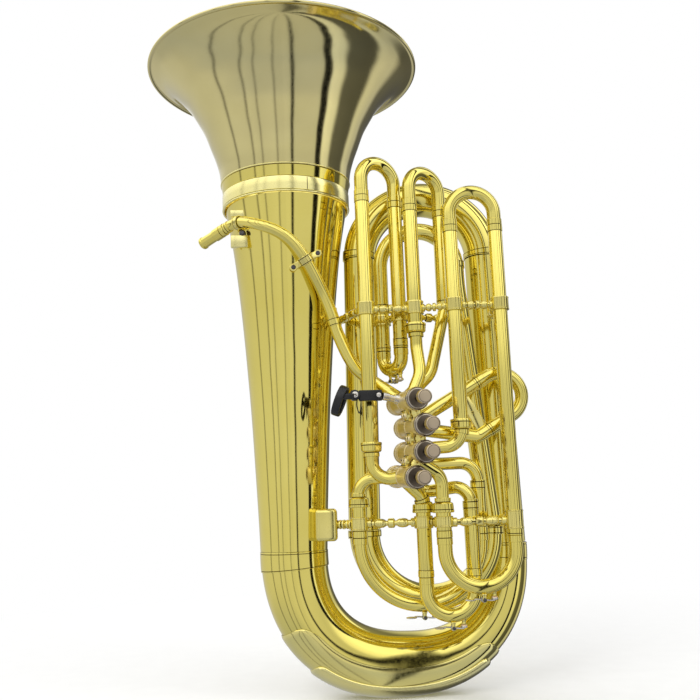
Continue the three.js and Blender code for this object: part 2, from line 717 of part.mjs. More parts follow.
// A point given along the slide's own direction and across it, from the crook's centre.
function onSecond(out, upward) {
  const [x, z] = SECOND_CENTRE;
  const [c, s] = [Math.cos(SECOND_TILT), Math.sin(SECOND_TILT)];
  return [x + out * c - upward * s, SECOND_Y, z + out * s + upward * c];
}
const SECOND_UPPER_MOUTH = -15;
const SECOND_LOWER_MOUTH = -34;
const secondUpper = route(onSecond(SECOND_UPPER_MOUTH, SECOND_HALF_WIDTH), onSecond(-124, SECOND_HALF_WIDTH));
const secondLower = route(
  onSecond(SECOND_LOWER_MOUTH, -SECOND_HALF_WIDTH),
  [...onSecond(-56, -SECOND_HALF_WIDTH), 14],
  [8, -80, 353],
);
const secondPipe = (path) => pipe(path, banded(9.2, path.span, [0, 6, 10]), taper(8.3, 8.3, path.span));
// A flat stay holds the two legs apart.
const stay = box(16, 3, 54, 0, 0, 0).rotateY(-SECOND_TILT).translate(...onSecond(-44, 0));
const secondRods = [secondUpper, secondLower].map((path) => pipe(path, taper(8.6, 8.6, path.span)));
add("second_valve_legs", trimmedAtValves(join(secondPipe(secondUpper), secondPipe(secondLower), cut(stay, ...secondRods))));

const secondSlideRoute = route(
  onSecond(SECOND_UPPER_MOUTH - SECOND_ENGAGED, SECOND_HALF_WIDTH),
  [...onSecond(SECOND_HALF_WIDTH, SECOND_HALF_WIDTH), SECOND_HALF_WIDTH],
  [...onSecond(SECOND_HALF_WIDTH, -SECOND_HALF_WIDTH), SECOND_HALF_WIDTH],
  onSecond(SECOND_LOWER_MOUTH - SECOND_ENGAGED, -SECOND_HALF_WIDTH),
);
const secondCollar = SECOND_ENGAGED + 0.4;
add(
  "second_valve_slide",
  pipe(
    secondSlideRoute,
    [
      [0, 7.3], [secondCollar, 7.3], [secondCollar, 9], [secondSlideRoute.span - secondCollar, 9],
      [secondSlideRoute.span - secondCollar, 7.3], [secondSlideRoute.span, 7.3],
    ],
    taper(6.3, 6.3, secondSlideRoute.span),
  ),
);

// ---------- Leadpipe ----------

const leadCurve = along(
  new THREE.CatmullRomCurve3(
    [
      [-233.5, -44, 645], [-225, -50.5, 648.2], [-210, -64, 648], [-187, -84, 638], [-160.5, -88, 627],
      [-141, -87, 612.5], [-124.5, -82, 591], [-110.5, -73, 567], [-98.5, -63, 543], [-88, -60, 515],
      [-80, -60, 486], [-58, -61, 440], [-36, -63, 420], [-14, -74, 402], [0, -88, 390],
    ].map((at) => new THREE.Vector3(...at)),
    false,
    "centripetal",
  ),
  18,
);
const leadOutline = [[0, 8.2], [8, 8.2], [8, 7.2], [leadCurve.span * 0.5, 8], [leadCurve.span, 9.2]];
add(
  "leadpipe",
  trimmedAtValves(pipe(leadCurve, leadOutline, [[0, 5.6], [leadCurve.span * 0.5, 6.8], [leadCurve.span, 8.2]])),
);
const receiverStart = leadCurve.getPointAt(0);
const receiverHeading = leadCurve.getTangentAt(0).negate();
const receiverRoute = route(
  receiverStart.clone().addScaledVector(receiverHeading, GAP).toArray(),
  receiverStart.clone().addScaledVector(receiverHeading, 46).toArray(),
);
add(
  "mouthpiece_receiver",
  pipe(
    receiverRoute,
    [
      [0, 9], [20, 9], [20, 7.8], [receiverRoute.span - 4, 8.1], [receiverRoute.span - 4, 8.8], [receiverRoute.span, 8.8],
    ],
    taper(4.8, 6.6, receiverRoute.span),
    12,
  ),
);

// A clamp band round the leadpipe with a foot on the bell.
const clampAt = leadCurve.getPointAt(0.374);
const clampHeading = leadCurve.getTangentAt(0.374);
const clampRoute = along(
  new THREE.LineCurve3(
    clampAt.clone().addScaledVector(clampHeading, -6),
    clampAt.clone().addScaledVector(clampHeading, 6),
  ),
  1,
);
const clampBand = pipe(clampRoute, taper(10.2, 10.2, 12), taper(8.5, 8.5, 12), 12);
const sideways = new THREE.Vector3(0.865, 0, 0.5).normalize();
const lugs = [-1, 1].map((way) => {
  const from = clampAt.clone().addScaledVector(sideways, way * 9.6);
  const to = clampAt.clone().addScaledVector(sideways, way * 21);
  to.y += 5;
  return pipe(route(from.toArray(), to.toArray()), [[0, 3], [from.distanceTo(to), 3.4]], [], 8);
});
const clampFoot = pipe(
  route(clampAt.clone().add(new THREE.Vector3(0, 10.4, -2)).toArray(), [clampAt.x, clampAt.y + 22, clampAt.z - 2]),
  [[0, 4], [11.6, 6]],
  [],
  8,
);
add("leadpipe_clamp", cut(join(clampBand, ...lugs, clampFoot), bellCutter));

// The leadpipe's saddle on the bell, beside the receiver: a plate with a pad above the pipe and one below it.
const leadRod = pipe(leadCurve, taper(8.6, 8.6, leadCurve.span), [], 10);
const saddle = join(
  box(22, 8, 10, -214.5, -57, 662.5),
  box(24, 8, 18, -213.5, -57, 622),
  box(20, 12, 54, -211.5, -50, 640.3),
);
add("receiver_bracket", cut(saddle, bellCutter, leadRod));

// ---------- Braces ----------

const sleeveAt = (name, z, height) => sleeve(LEG[name], z, height);
const across = (nameA, nameB, z) => {
  const [ax, ay] = LEG[nameA];
  const [bx, by] = LEG[nameB];
  const run = Math.hypot(bx - ax, by - ay);
  const reach = 11.4 / run;
  return spindle(
    [ax + (bx - ax) * reach, ay + (by - ay) * reach, z],
    [bx - (bx - ax) * reach, by - (by - ay) * reach, z],
  );
};
const upperBell = box(15, 30, 42, -78, -34, UPPER_BRACE_Z);
const upperBrace = join(
  sleeveAt("tuningLeft", UPPER_BRACE_Z, 18),
  sleeveAt("firstLeft", UPPER_BRACE_Z, 18),
  sleeveAt("thirdLeft", UPPER_BRACE_Z, 18),
  sleeveAt("thirdRight", UPPER_BRACE_Z, 18),
  across("tuningLeft", "firstLeft", UPPER_BRACE_Z - 3),
  across("firstLeft", "thirdLeft", UPPER_BRACE_Z - 3),
  across("thirdLeft", "thirdRight", UPPER_BRACE_Z - 3),
  spindle([-72, -46, UPPER_BRACE_Z - 3], [-50.5, -76.5, UPPER_BRACE_Z - 3]),
  spindle([138.3, -88.6, UPPER_BRACE_Z], [143, -20, UPPER_BRACE_Z]),
  upperBell,
);
const outerCutter = pipe(outerRoute, taper(28.6 + GAP, 26.4 + GAP, outerRoute.span), [], LARGE_SIDES);
const middleCutter = pipe(middleRoute, taper(22.2 + GAP, 23.4 + GAP, middleRoute.span), [], 16);
const leadCutter = pipe(leadCurve, [[0, 8], [leadCurve.span, 10]], [], 10);
add("upper_brace", cut(upperBrace, bellCutter, outerCutter, middleCutter, leadCutter));

// Behind them a second brace holds the inner tubes: water leg, tuning leg and inner branch, back to the middle branch.
const INNER_BRACE_Z = 510;
const innerCutter = pipe(innerRoute, taper(15.4 + GAP, 13.4 + GAP, innerRoute.span), [], 14);
const innerBrace = join(
  sleeveAt("tuningRight", INNER_BRACE_Z, 14),
  sleeveAt("waterLeft", INNER_BRACE_Z, 14),
  across("tuningRight", "waterLeft", INNER_BRACE_Z),
  spindle([-23.5, -20.5, INNER_BRACE_Z], [-38, -5, INNER_BRACE_Z], 4.4, 4.4),
  spindle([17.2, -54, INNER_BRACE_Z], [92, -35.4, INNER_BRACE_Z]),
);
add("inner_brace", cut(innerBrace, middleCutter, innerCutter));

const lowerBox = box(30, 34, 42, -105, -38, LOWER_BRACE_Z);
const lowerBrace = join(
  lowerBox,
  sleeveAt("fourthLeft", LOWER_BRACE_Z, 16),
  sleeveAt("auxLeft", LOWER_BRACE_Z, 16),
  sleeveAt("thirdLow", LOWER_BRACE_Z, 14),
  sleeveAt("thirdRight", LOWER_BRACE_Z, 22),
  spindle([-92, -44, LOWER_BRACE_Z], [-71, -54.5, LOWER_BRACE_Z]),
  across("fourthLeft", "auxLeft", LOWER_BRACE_Z),
  across("thirdLow", "thirdRight", LOWER_BRACE_Z - 2),
  spindle([138.5, -88.6, LOWER_BRACE_Z], [147, -20, LOWER_BRACE_Z]),
  across("auxLeft", "thirdLow", LOWER_BRACE_Z),
);
add("lower_brace", cut(lowerBrace, bellCutter, outerCutter));

// ---------- Thumb ring ----------

const RING_LEAN = THREE.MathUtils.degToRad(22); // the ring's top leans towards the valves
const RING_YAW = THREE.MathUtils.degToRad(-15);
const RING_AT = [-84, -118, 388];
const RING_PIVOT = [-65, -118, 394.5]; // the ring turns on a pin that runs along Y
const ringShape = new THREE.Shape().absellipse(0, 0, 13, 20.5, 0, 2 * Math.PI);
ringShape.holes.push(new THREE.Path().absellipse(0, 0, 9, 16, 0, 2 * Math.PI));
const ringBody = new THREE.ExtrudeGeometry(ringShape, { depth: 11, bevelEnabled: false, curveSegments: 10 })
  .translate(0, 0, -5.5)
  .applyMatrix4(
    new THREE.Matrix4().makeBasis(
      new THREE.Vector3(0, 1, 0),
      new THREE.Vector3(Math.sin(RING_LEAN), 0, Math.cos(RING_LEAN)),
      new THREE.Vector3(Math.cos(RING_LEAN), 0, -Math.sin(RING_LEAN)),
    ),
  )
  .rotateZ(RING_YAW)
  .translate(...RING_AT);
const [pinX, pinY, pinZ] = RING_PIVOT;
const onPin = (fromY, toY, radius, sides = 12) =>
  pipe(route([pinX, fromY, pinZ], [pinX, toY, pinZ]), taper(radius, radius, Math.abs(toY - fromY)), [], sides);
const neck = box(18, 5, 8, pinX - 9.5, pinY - 7.8, pinZ - 2);
add(
  "thumb_ring",
  join(ringBody, onPin(pinY - 8, pinY - 4.6, 6.4), onPin(pinY - 9.5, pinY + 5.5, 2.6, 8), neck),
  blackPlastic,
);
const eye = onPin(pinY - 4, pinY + 4, 7, 14);
const bar = box(31, 8, 14, pinX + 20, pinY, pinZ - 0.7);
add("thumb_arm", cut(join(eye, bar), onPin(pinY - 5, pinY + 5, 3.1)), blackPlastic);
add(
  "thumb_arm_post",
  trimmedAtValves(pipe(route([-26.6, -118, 393], [3, -107.5, 387]), [[0, 5.4], [9, 5.4], [9, 4.4], [32, 4.4]], [], 10)),
  nickel,
);

export default tuba;
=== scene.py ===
"""A lacquered brass tuba with four front piston valves. Lengths are millimetres here and metres in the meshes."""

import math

import bmesh
import bpy
import numpy as np
from mathutils import Matrix, Vector


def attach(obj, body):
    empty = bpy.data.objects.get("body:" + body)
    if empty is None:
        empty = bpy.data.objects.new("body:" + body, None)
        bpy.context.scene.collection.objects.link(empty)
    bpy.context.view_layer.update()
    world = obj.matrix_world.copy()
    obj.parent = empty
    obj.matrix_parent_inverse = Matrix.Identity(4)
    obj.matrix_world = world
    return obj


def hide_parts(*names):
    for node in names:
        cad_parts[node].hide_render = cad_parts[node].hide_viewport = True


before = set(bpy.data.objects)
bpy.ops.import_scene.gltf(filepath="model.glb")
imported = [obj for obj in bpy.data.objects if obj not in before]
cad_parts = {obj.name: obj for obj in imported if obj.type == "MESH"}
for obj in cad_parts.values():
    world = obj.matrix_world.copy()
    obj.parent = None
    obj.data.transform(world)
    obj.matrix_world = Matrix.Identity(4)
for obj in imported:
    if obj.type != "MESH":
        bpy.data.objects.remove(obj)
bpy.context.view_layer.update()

MM = 0.001
BELL_X = -147.5
SMALL = 36  # sides of a valve tube
LARGE = 96  # sides of a bow or branch
ARC_STEP = 5  # degrees between rings in a bend

# ---------------------------------------------------------------- numbers shared with the solids

TUBE, BORE, SLIDE, CROOK, FERRULE, FLANGE, VALVE_END = 9.8, 8.8, 7.8, 9.4, 10.4, 14.2, 8.4
LEG = {
    "tuning_l": (-43, -85),
    "tuning_r": (6, -57),
    "first_l": (23.5, -85),
    "first_r": (69.5, -57),
    "third_l": (75.3, -100),
    "third_r": (137.5, -100),
    "third_low": (45.5, -100),
    "fourth_l": (-60, -58),
    "fourth_r": (101.5, -59.5),
    "aux_l": (22.5, -79),
    "aux_r": (85.5, -80.5),
    "water_l": (-15, -29),
}
TOP_MOUTH = {"tuning": 676, "first": 661.5, "third": 626}
TOP_BEND = {"tuning": 701, "first": 687, "third": 643.5}
LOW_MOUTH = {"fourth": 212, "aux": 160, "third": 210}
LOW_BEND = {"fourth": 204, "aux": 143, "third": 193}
VALVE_AXIS = np.array([0.125, -1, -0.04]) / np.linalg.norm([0.125, -1, -0.04])
VALVE_FEET = np.array([[-1.5, -56, 388], [7, -56, 355], [5.5, -56, 321.5], [-7, -56, 290.5]], float)
CASING, CASING_TOP = 13.6, 95
UPPER_BRACE_Z, INNER_BRACE_Z, LOWER_BRACE_Z = 516, 510, 230
KEY_DROP, KEY_CUP_AT = 6.5, 14


def unit(v):
    v = np.asarray(v, float)
    return v / np.linalg.norm(v)


# ---------------------------------------------------------------- centrelines


class Path:
    """Points, unit tangents and the distance along a centreline."""

    def __init__(self, points, tangents=None):
        points = np.array(points, float)
        if tangents is None:
            tangents = np.roll(points, -1, 0) - np.roll(points, 1, 0)
            tangents[0], tangents[-1] = points[1] - points[0], points[-1] - points[-2]
        tangents = np.array(tangents, float)
        tangents /= np.linalg.norm(tangents, axis=1, keepdims=True)
        keep = np.concatenate([[True], np.linalg.norm(np.diff(points, axis=0), axis=1) > 1e-4])
        self.points, self.tangents = points[keep], tangents[keep]
        steps = np.linalg.norm(np.diff(self.points, axis=0), axis=1)
        self.at = np.concatenate([[0], np.cumsum(steps)])
        self.span = float(self.at[-1])

    def place(self, at):
        p, t = (np.array([np.interp(at, self.at, q[:, i]) for i in range(3)]) for q in (self.points, self.tangents))
        return p, unit(t)

    def part(self, start, end):
        """The stretch between two distances."""
        inner = [a for a in self.at if start + 1e-3 < a < end - 1e-3]
        rows = [self.place(a) for a in [start, *inner, end]]
        return Path([r[0] for r in rows], [r[1] for r in rows])


def route(*corners, step=ARC_STEP):
    """Straight runs joined by round bends. Each corner is (x, y, z, bend radius); the ends have no radius."""
    p = [np.array(c[:3], float) for c in corners]
    points, tangents = [p[0]], [unit(p[1] - p[0])]
    for i in range(1, len(p) - 1):
        radius = corners[i][3]
        a, b = unit(p[i] - p[i - 1]), unit(p[i + 1] - p[i])
        turn = math.acos(max(-1, min(1, float(a @ b))))
        if turn < 1e-3:
            continue
        start = p[i] - a * radius * math.tan(turn / 2)
        inward = unit(b - a * math.cos(turn))
        centre = start + inward * radius
        count = max(2, math.ceil(math.degrees(turn) / step))
        for k in range(count + 1):
            w = turn * k / count
            points.append(centre - inward * radius * math.cos(w) + a * radius * math.sin(w))
            tangents.append(a * math.cos(w) + inward * math.sin(w))
    points.append(p[-1])
    tangents.append(unit(p[-1] - p[-2]))
    return Path(points, tangents)


def u_route(leg_a, leg_b, foot_z, bend_z):
    """A U from one leg to the other: both end at foot_z and the half circle starts at bend_z."""
    radius = math.hypot(leg_a[0] - leg_b[0], leg_a[1] - leg_b[1]) / 2
    z = bend_z + math.copysign(radius, bend_z - foot_z)
    return route((*leg_a, foot_z), (*leg_a, z, radius), (*leg_b, z, radius), (*leg_b, foot_z))


def upright(leg, from_z, to_z):
    return route((*leg, from_z), (*leg, to_z))


def hermite(t, start, leaving, end, arriving):
    """A cubic from start to end with those slopes at its ends."""
    return (
        (2 * t**3 - 3 * t**2 + 1) * start + (t**3 - 2 * t**2 + t) * leaving
        + (3 * t**2 - 2 * t**3) * end + (t**3 - t**2) * arriving
    )


def catmull(points, count):
    """A centripetal Catmull-Rom curve through the points."""
    p = [np.array(q, float) for q in points]
    p = [p[0] * 2 - p[1], *p, p[-1] * 2 - p[-2]]
    out = []
    for i in range(1, len(p) - 2):
        d = [max(np.linalg.norm(p[i + k] - p[i + k - 1]), 1e-4) ** 0.5 for k in range(3)]
        m1 = (p[i] - p[i - 1]) / d[0] - (p[i + 1] - p[i - 1]) / (d[0] + d[1]) + (p[i + 1] - p[i]) / d[1]
        m2 = (p[i + 1] - p[i]) / d[1] - (p[i + 2] - p[i]) / (d[1] + d[2]) + (p[i + 2] - p[i + 1]) / d[2]
        out += [hermite(k / count, p[i], m1 * d[1], p[i + 1], m2 * d[1]) for k in range(count)]
    out.append(p[-2])
    return Path(out)


def pchip(xs, ys):
    """A monotone smooth function through the points."""
    xs, ys = np.array(xs, float), np.array(ys, float)
    h, d = np.diff(xs), np.diff(ys) / np.diff(xs)
    m = np.zeros(len(xs))
    for i in range(1, len(xs) - 1):
        if d[i - 1] * d[i] > 0:
            w1, w2 = 2 * h[i] + h[i - 1], h[i] + 2 * h[i - 1]
            m[i] = (w1 + w2) / (w1 / d[i - 1] + w2 / d[i])
    m[0], m[-1] = d[0], d[-1]

    def value(x):
        i = int(np.clip(np.searchsorted(xs, x) - 1, 0, len(h) - 1))
        return float(hermite((x - xs[i]) / h[i], ys[i], h[i] * m[i], ys[i + 1], h[i] * m[i + 1]))

    return value


# ---------------------------------------------------------------- outlines: (distance, radius) along a centreline


def taper(start, end, span, steps=1):
    return [(span * k / steps, start + (end - start) * k / steps) for k in range(steps + 1)]


def radius_on(outline, at):
    return float(np.interp(at, [q[0] for q in outline], [q[1] for q in outline]))


def with_bands(outline, *bands):
    """Adds raised bands to an outline. A band is (from, to, radius) or (from, to, radius, groove count)."""
    span = outline[-1][0]
    for band in bands:
        start, end, radius, grooves = (*band, 0)[:4]
        low, high = radius_on(outline, start), radius_on(outline, end)
        edge = min(0.35, (end - start) / 5)
        rows = [(start - 0.02, low)] if start > 1e-6 else []
        rows += [(start, radius - edge), (start + edge, radius)]
        for share in {0: (), 1: (0.5,), 2: (0.16, 0.84)}[grooves]:
            at = start + (end - start) * share
            # each groove's floor takes the near-black finish: painted shade in the groove, with tarnish
            rows += [
                (at - 0.5, radius), (at - 0.35, radius - 0.5, "seam"), (at + 0.35, radius - 0.5), (at + 0.5, radius),
            ]
        rows += [(end - edge, radius), (end, radius - edge)]
        if end < span - 1e-6:
            rows.append((end + 0.02, high))
        outline = [q for q in outline if q[0] < start - 1e-6] + rows + [q for q in outline if q[0] > end + 1e-6]
    return outline


def mirrored(rows, span):
    """The rows as seen from the far end. A finish belongs to the face after its row, so it moves on by one."""
    finishes = [q[2] if len(q) > 2 else None for q in rows]
    return [(span - q[0], q[1], f) for q, f in zip(reversed(rows), [*reversed(finishes[:-1]), None])]


def with_line(outline, at, width=0.7, depth=0.35):
    """A thin groove, such as a soldered joint's; its floor takes the near-black finish: painted shade with tarnish.
    """
    r = radius_on(outline, at)
    rows = [
        (at - width / 2, r), (at - width / 3, r - depth, "seam"), (at + width / 3, r - depth), (at + width / 2, r)
    ]
    return [q for q in outline if q[0] < at - width / 2] + rows + [q for q in outline if q[0] > at + width / 2]


# ---------------------------------------------------------------- meshes


def girdle(a, b, sides):
    """The faces between two rings of points, which start at a and b."""
    return [(a + k, a + (k + 1) % sides, b + (k + 1) % sides, b + k) for k in range(sides)]


class Piece:
    """Collects closed shells, each face with its own finish, into the object that stands for one solid."""

    def __init__(self, node):
        self.node, self.name = node, node + "_skin"
        self.verts, self.faces, self.finish = [], [], []

    def shell(self, verts, faces, finish):
        """Adds a shell. finish is one name, or one for each face."""
        first = len(self.verts)
        self.verts.extend(map(tuple, verts))
        self.faces.extend(tuple(first + i for i in f) for f in faces)
        self.finish.extend([finish] * len(faces) if isinstance(finish, str) else finish)
        return self

    def tube(self, path, outline, material, bore=None, sides=SMALL, flute=None, inside=None):
        """A pipe along a path, or a rod without a bore. flute is (count, depth, from, to)."""

        def rings(shape):
            at = np.array([q[0] for q in shape])
            rows = [(q[0], q[1], k, q[2] if len(q) > 2 else None) for k, q in enumerate(shape)]
            for s in path.at:
                if at[0] < s < at[-1] and np.min(np.abs(at - s)) > 0.3:
                    rows.append((float(s), radius_on(shape, s), -1, None))
            return sorted(rows, key=lambda q: (q[0], q[2]))

        outer = rings(outline)
        inner = rings(bore) if bore else []
        where = sorted({q[0] for q in outer + inner})
        frames = {}
        ahead = path.place(where[0])[1]
        normal = unit(np.cross(ahead, [1.0, 0, 0] if abs(ahead[2]) > 0.9 else [0, 0, 1.0]))
        for s in where:
            point, ahead = path.place(s)
            normal = unit(normal - ahead * float(normal @ ahead))
            frames[s] = (point, normal, np.cross(ahead, normal))
        turn = np.arange(sides) * 2 * math.pi / sides
        c, n = np.cos(turn)[:, None], np.sin(turn)[:, None]
        verts, faces, kinds = [], [], []

        def ring(s, r):
            point, across, other = frames[s]
            if flute and flute[2] <= s <= flute[3]:
                r = r - flute[1] * (0.5 - 0.5 * np.cos(flute[0] * turn))[:, None]
            verts.append(point + r * (c * across + n * other))
            return (len(verts) - 1) * sides

        def band(a, b, kind):
            faces.extend(girdle(a, b, sides))
            kinds.extend([kind] * sides)

        outside = [ring(q[0], q[1]) for q in outer]
        for row, a, b in zip(outer, outside, outside[1:]):
            band(a, b, row[3] or material)
        if inner:
            hollow = [ring(q[0], q[1]) for q in inner]
            for a, b in zip(hollow, hollow[1:]):
                band(b, a, inside or material)
            band(hollow[0], outside[0], material)
            band(outside[-1], hollow[-1], material)
        else:
            faces += [
                tuple(outside[0] + k for k in reversed(range(sides))), tuple(outside[-1] + k for k in range(sides))
            ]
            kinds += [material, material]
        return self.shell(np.concatenate(verts), faces, kinds)

    def lathe(self, profile, material, sides, inside_from, inside):
        """A closed (radius, z) loop turned about the bell's axis."""
        turn = np.arange(sides) * 2 * math.pi / sides
        rings = [
            np.stack([BELL_X + q[0] * np.cos(turn), q[0] * np.sin(turn), np.full(sides, q[1])], 1) for q in profile
        ]
        faces, kinds = [], []
        for i, q in enumerate(profile):
            faces += girdle(i * sides, (i + 1) % len(profile) * sides, sides)
            kinds += [inside if i >= inside_from else q[2] if len(q) > 2 else material] * sides
        return self.shell(np.concatenate(rings), faces, kinds)

    def block(self, size, centre, material, bevel=1.0, segments=3, turn=None):
        """A box with rounded edges. turn is a rotation matrix."""
        bm = bmesh.new()
        bmesh.ops.create_cube(bm, size=1)
        for v in bm.verts:
            v.co = Vector((v.co.x * size[0], v.co.y * size[1], v.co.z * size[2]))
        bmesh.ops.bevel(bm, geom=list(bm.edges), offset=bevel, segments=segments, profile=0.5, affect="EDGES")
        bm.transform(Matrix.Translation(Vector(centre)) @ (turn.to_4x4() if turn else Matrix.Identity(4)))
        bm.verts.index_update()
        self.shell([tuple(v.co) for v in bm.verts], [tuple(v.index for v in f.verts) for f in bm.faces], material)
        bm.free()
        return self

    def turned(self, start, end, shape, material, sides=28):
        """A turned part between two points. shape is a list of (share of the length, radius)."""
        path = route(start, end)
        return self.tube(path, [(q[0] * path.span, *q[1:]) for q in shape], material, sides=sides)

    def moved(self, matrix, since=0):
        for i in range(since, len(self.verts)):
            self.verts[i] = tuple(matrix @ Vector(self.verts[i]))
        return self

    def done(self, body="horn", slot="lacquered_brass", sharp=32):
        mesh = bpy.data.meshes.new(self.name)
        mesh.from_pydata([(x * MM, y * MM, z * MM) for x, y, z in self.verts], [], self.faces)
        names = list(dict.fromkeys(self.finish))
        for name in names:
            mesh.materials.append(MATERIALS[name])
        index = {name: i for i, name in enumerate(names)}
        mesh.polygons.foreach_set("material_index", [index[k] for k in self.finish])
        mesh.update()
        bm = bmesh.new()
        bm.from_mesh(mesh)
        bmesh.ops.recalc_face_normals(bm, faces=bm.faces)
        bm.to_mesh(mesh)
        bm.free()
        mesh.shade_smooth()
        mesh.set_sharp_from_angle(angle=math.radians(sharp))
        obj = bpy.data.objects.new(self.name, mesh)
        bpy.context.scene.collection.objects.link(obj)
        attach(obj, body)
        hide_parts(self.node)


# ---------------------------------------------------------------- materials


def new_material(name):
    """A material with its node tree, its shader and the object's own coordinates."""
    material = bpy.data.materials.new(name)
    material.use_nodes = True
    tree = material.node_tree
    where = tree.nodes.new("ShaderNodeTexCoord").outputs["Object"]
    return material, tree, tree.nodes["Principled BSDF"], where


def settle(node, **values):
    """Sets constants on a node's inputs; an underscore stands for a space in an input's name."""
    for name, value in values.items():
        node.inputs[name.replace("_", " ")].default_value = value
    return node


def noise(tree, where, scale, detail, roughness, distortion=0.0):
    node = settle(
        tree.nodes.new("ShaderNodeTexNoise"), Scale=scale, Detail=detail, Roughness=roughness, Distortion=distortion
    )
    tree.links.new(where, node.inputs["Vector"])
    return node.outputs["Fac"]


def ramp(tree, source, stops):
    node = tree.nodes.new("ShaderNodeValToRGB")
    elements = node.color_ramp.elements
    while len(elements) < len(stops):
        elements.new(0.5)
    for element, (position, colour) in zip(elements, stops):
        element.position = position
        element.color = (*colour, 1)
    tree.links.new(source, node.inputs["Fac"])
    return node


def paint(tree, source, stops, socket):
    tree.links.new(ramp(tree, source, stops).outputs["Color"], socket)


def bump(tree, height, distance, socket):
    """Raises a surface by up to `distance` millimetres."""
    node = settle(tree.nodes.new("ShaderNodeBump"), Strength=1.0, Distance=distance * MM)
    tree.links.new(height, node.inputs["Height"])
    tree.links.new(node.outputs["Normal"], socket)
    return node.inputs["Normal"]


def grey(v):
    return (v, v, v)


def metal(name, light, dark, rough, coat, hammered, fine, spread=0.05):
    """A metal whose colour drifts softly between two tones, with slight waviness from hand working."""
    material, tree, shader, where = new_material(name)
    paint(tree, noise(tree, where, 9, 4, 0.55, 0.3), [(0.32, dark), (0.68, light)], shader.inputs["Base Color"])
    haze = [(0.25, grey(max(rough - spread, 0.02))), (0.8, grey(rough + spread))]
    paint(tree, noise(tree, where, 260, 5, 0.6), haze, shader.inputs["Roughness"])
    settle(shader, Metallic=1.0)
    if coat:
        settle(shader, Coat_Weight=coat, Coat_Roughness=0.04, Coat_IOR=1.48)
    under = bump(tree, noise(tree, where, 1400, 2, 0.5), fine, shader.inputs["Normal"])
    bump(tree, noise(tree, where, 16, 2, 0.4), hammered, under)
    return material


def felt(name, colour):
    material, tree, shader, where = new_material(name)
    fuzz = noise(tree, where, 2200, 4, 0.7)
    paint(tree, fuzz, [(0.3, tuple(c * 0.5 for c in colour)), (0.75, colour)], shader.inputs["Base Color"])
    settle(shader, Roughness=0.95, Sheen_Weight=0.4, Sheen_Roughness=0.5)
    bump(tree, fuzz, 0.25, shader.inputs["Normal"])
    return material


def cork(name):
    material, tree, shader, where = new_material(name)
    cells = settle(tree.nodes.new("ShaderNodeTexVoronoi"), Scale=900)
    tree.links.new(where, cells.inputs["Vector"])
    tones = [(0.1, (0.50, 0.30, 0.14)), (0.6, (0.72, 0.50, 0.28))]
    paint(tree, cells.outputs["Distance"], tones, shader.inputs["Base Color"])
    settle(shader, Roughness=0.85)
    return material


def plastic(name, colour, rough):
    material, tree, shader, where = new_material(name)
    grain = noise(tree, where, 700, 4, 0.6)
    tones = [(0.3, tuple(c * 0.8 for c in colour)), (0.7, tuple(min(c * 1.3, 1) for c in colour))]
    paint(tree, grain, tones, shader.inputs["Base Color"])
    smear = [(0.3, grey(rough - 0.08)), (0.7, grey(rough + 0.12))]
    paint(tree, noise(tree, where, 60, 4, 0.6), smear, shader.inputs["Roughness"])
    bump(tree, grain, 0.03, shader.inputs["Normal"])
    return material


LACQUER = 0.12
METALS = {
    # its name, two tones, roughness, lacquer, waves and grain in mm, spread of the roughness
    "brass": ("lacquered_brass", (0.91, 0.785, 0.215), (0.865, 0.735, 0.175), 0.075, LACQUER, 0.4, 0.001, 0.03),
    "brass_sleeve": ("lacquered_brass_fittings", (0.92, 0.81, 0.29), (0.84, 0.72, 0.21), 0.12, LACQUER, 0.2, 0.003),
    "brass_band": ("lacquered_brass_pale", (0.97, 0.89, 0.40), (0.93, 0.83, 0.33), 0.2, LACQUER, 0.2, 0.002),
    "brass_guard": ("lacquered_brass_guard", (0.94, 0.84, 0.31), (0.89, 0.77, 0.25), 0.1, LACQUER, 0.3, 0.002, 0.03),
    # a greyer, darker copy of the bell's brass for the flare: painted grey reflection and shade
    "brass_flare_painted_grey": ("lacquered_brass_flare_painted_grey_reflection", (0.78, 0.69, 0.32), (0.71, 0.62, 0.27), 0.1, LACQUER, 0.4, 0.001, 0.03),
    "brass_inside": ("brass_inside", (0.88, 0.75, 0.23), (0.80, 0.66, 0.18), 0.16, LACQUER, 0.6, 0.002),
    "casing": ("champagne_casing", (0.99, 0.87, 0.55), (0.95, 0.81, 0.48), 0.4, LACQUER, 0.1, 0.003),
    # near-black finish: dark tarnish and solder lines, and painted shade in grooves, steps, slots, gaps and screw
    # holes
    "seam": ("tarnish_and_painted_groove_shade", (0.10, 0.065, 0.015), (0.05, 0.03, 0.01), 0.5, 0, 0.1, 0.01),
    # dark oxide inside the bores; on the pistons the same finish is painted shade for the port holes
    "bore_dark": ("oxidised_bore_and_painted_port_shade", (0.30, 0.20, 0.07), (0.16, 0.10, 0.04), 0.5, 0, 0.2, 0.01),
    "nickel": ("nickel_silver", (0.80, 0.77, 0.70), (0.68, 0.64, 0.57), 0.19, 0, 0.15, 0.004),
    "button": ("satin_button", (0.66, 0.55, 0.39), (0.57, 0.46, 0.32), 0.34, 0, 0, 0.012, 0.04),
    "cap": ("cap_nickel", (0.56, 0.50, 0.40), (0.42, 0.36, 0.28), 0.2, 0, 0.1, 0.006),
    # dark brown: painted shade under the buttons, on the caps' inner rings and the piston stems
    "recess_shade": ("cap_recess_painted_shade", (0.24, 0.20, 0.15), (0.14, 0.11, 0.08), 0.4, 0, 0.1, 0.01),
    "steel": ("spring_steel", (0.62, 0.63, 0.65), (0.45, 0.46, 0.48), 0.3, 0, 0, 0.006),
    "dark_steel": ("blued_screws", (0.16, 0.15, 0.15), (0.07, 0.07, 0.08), 0.3, 0, 0, 0.004),
}
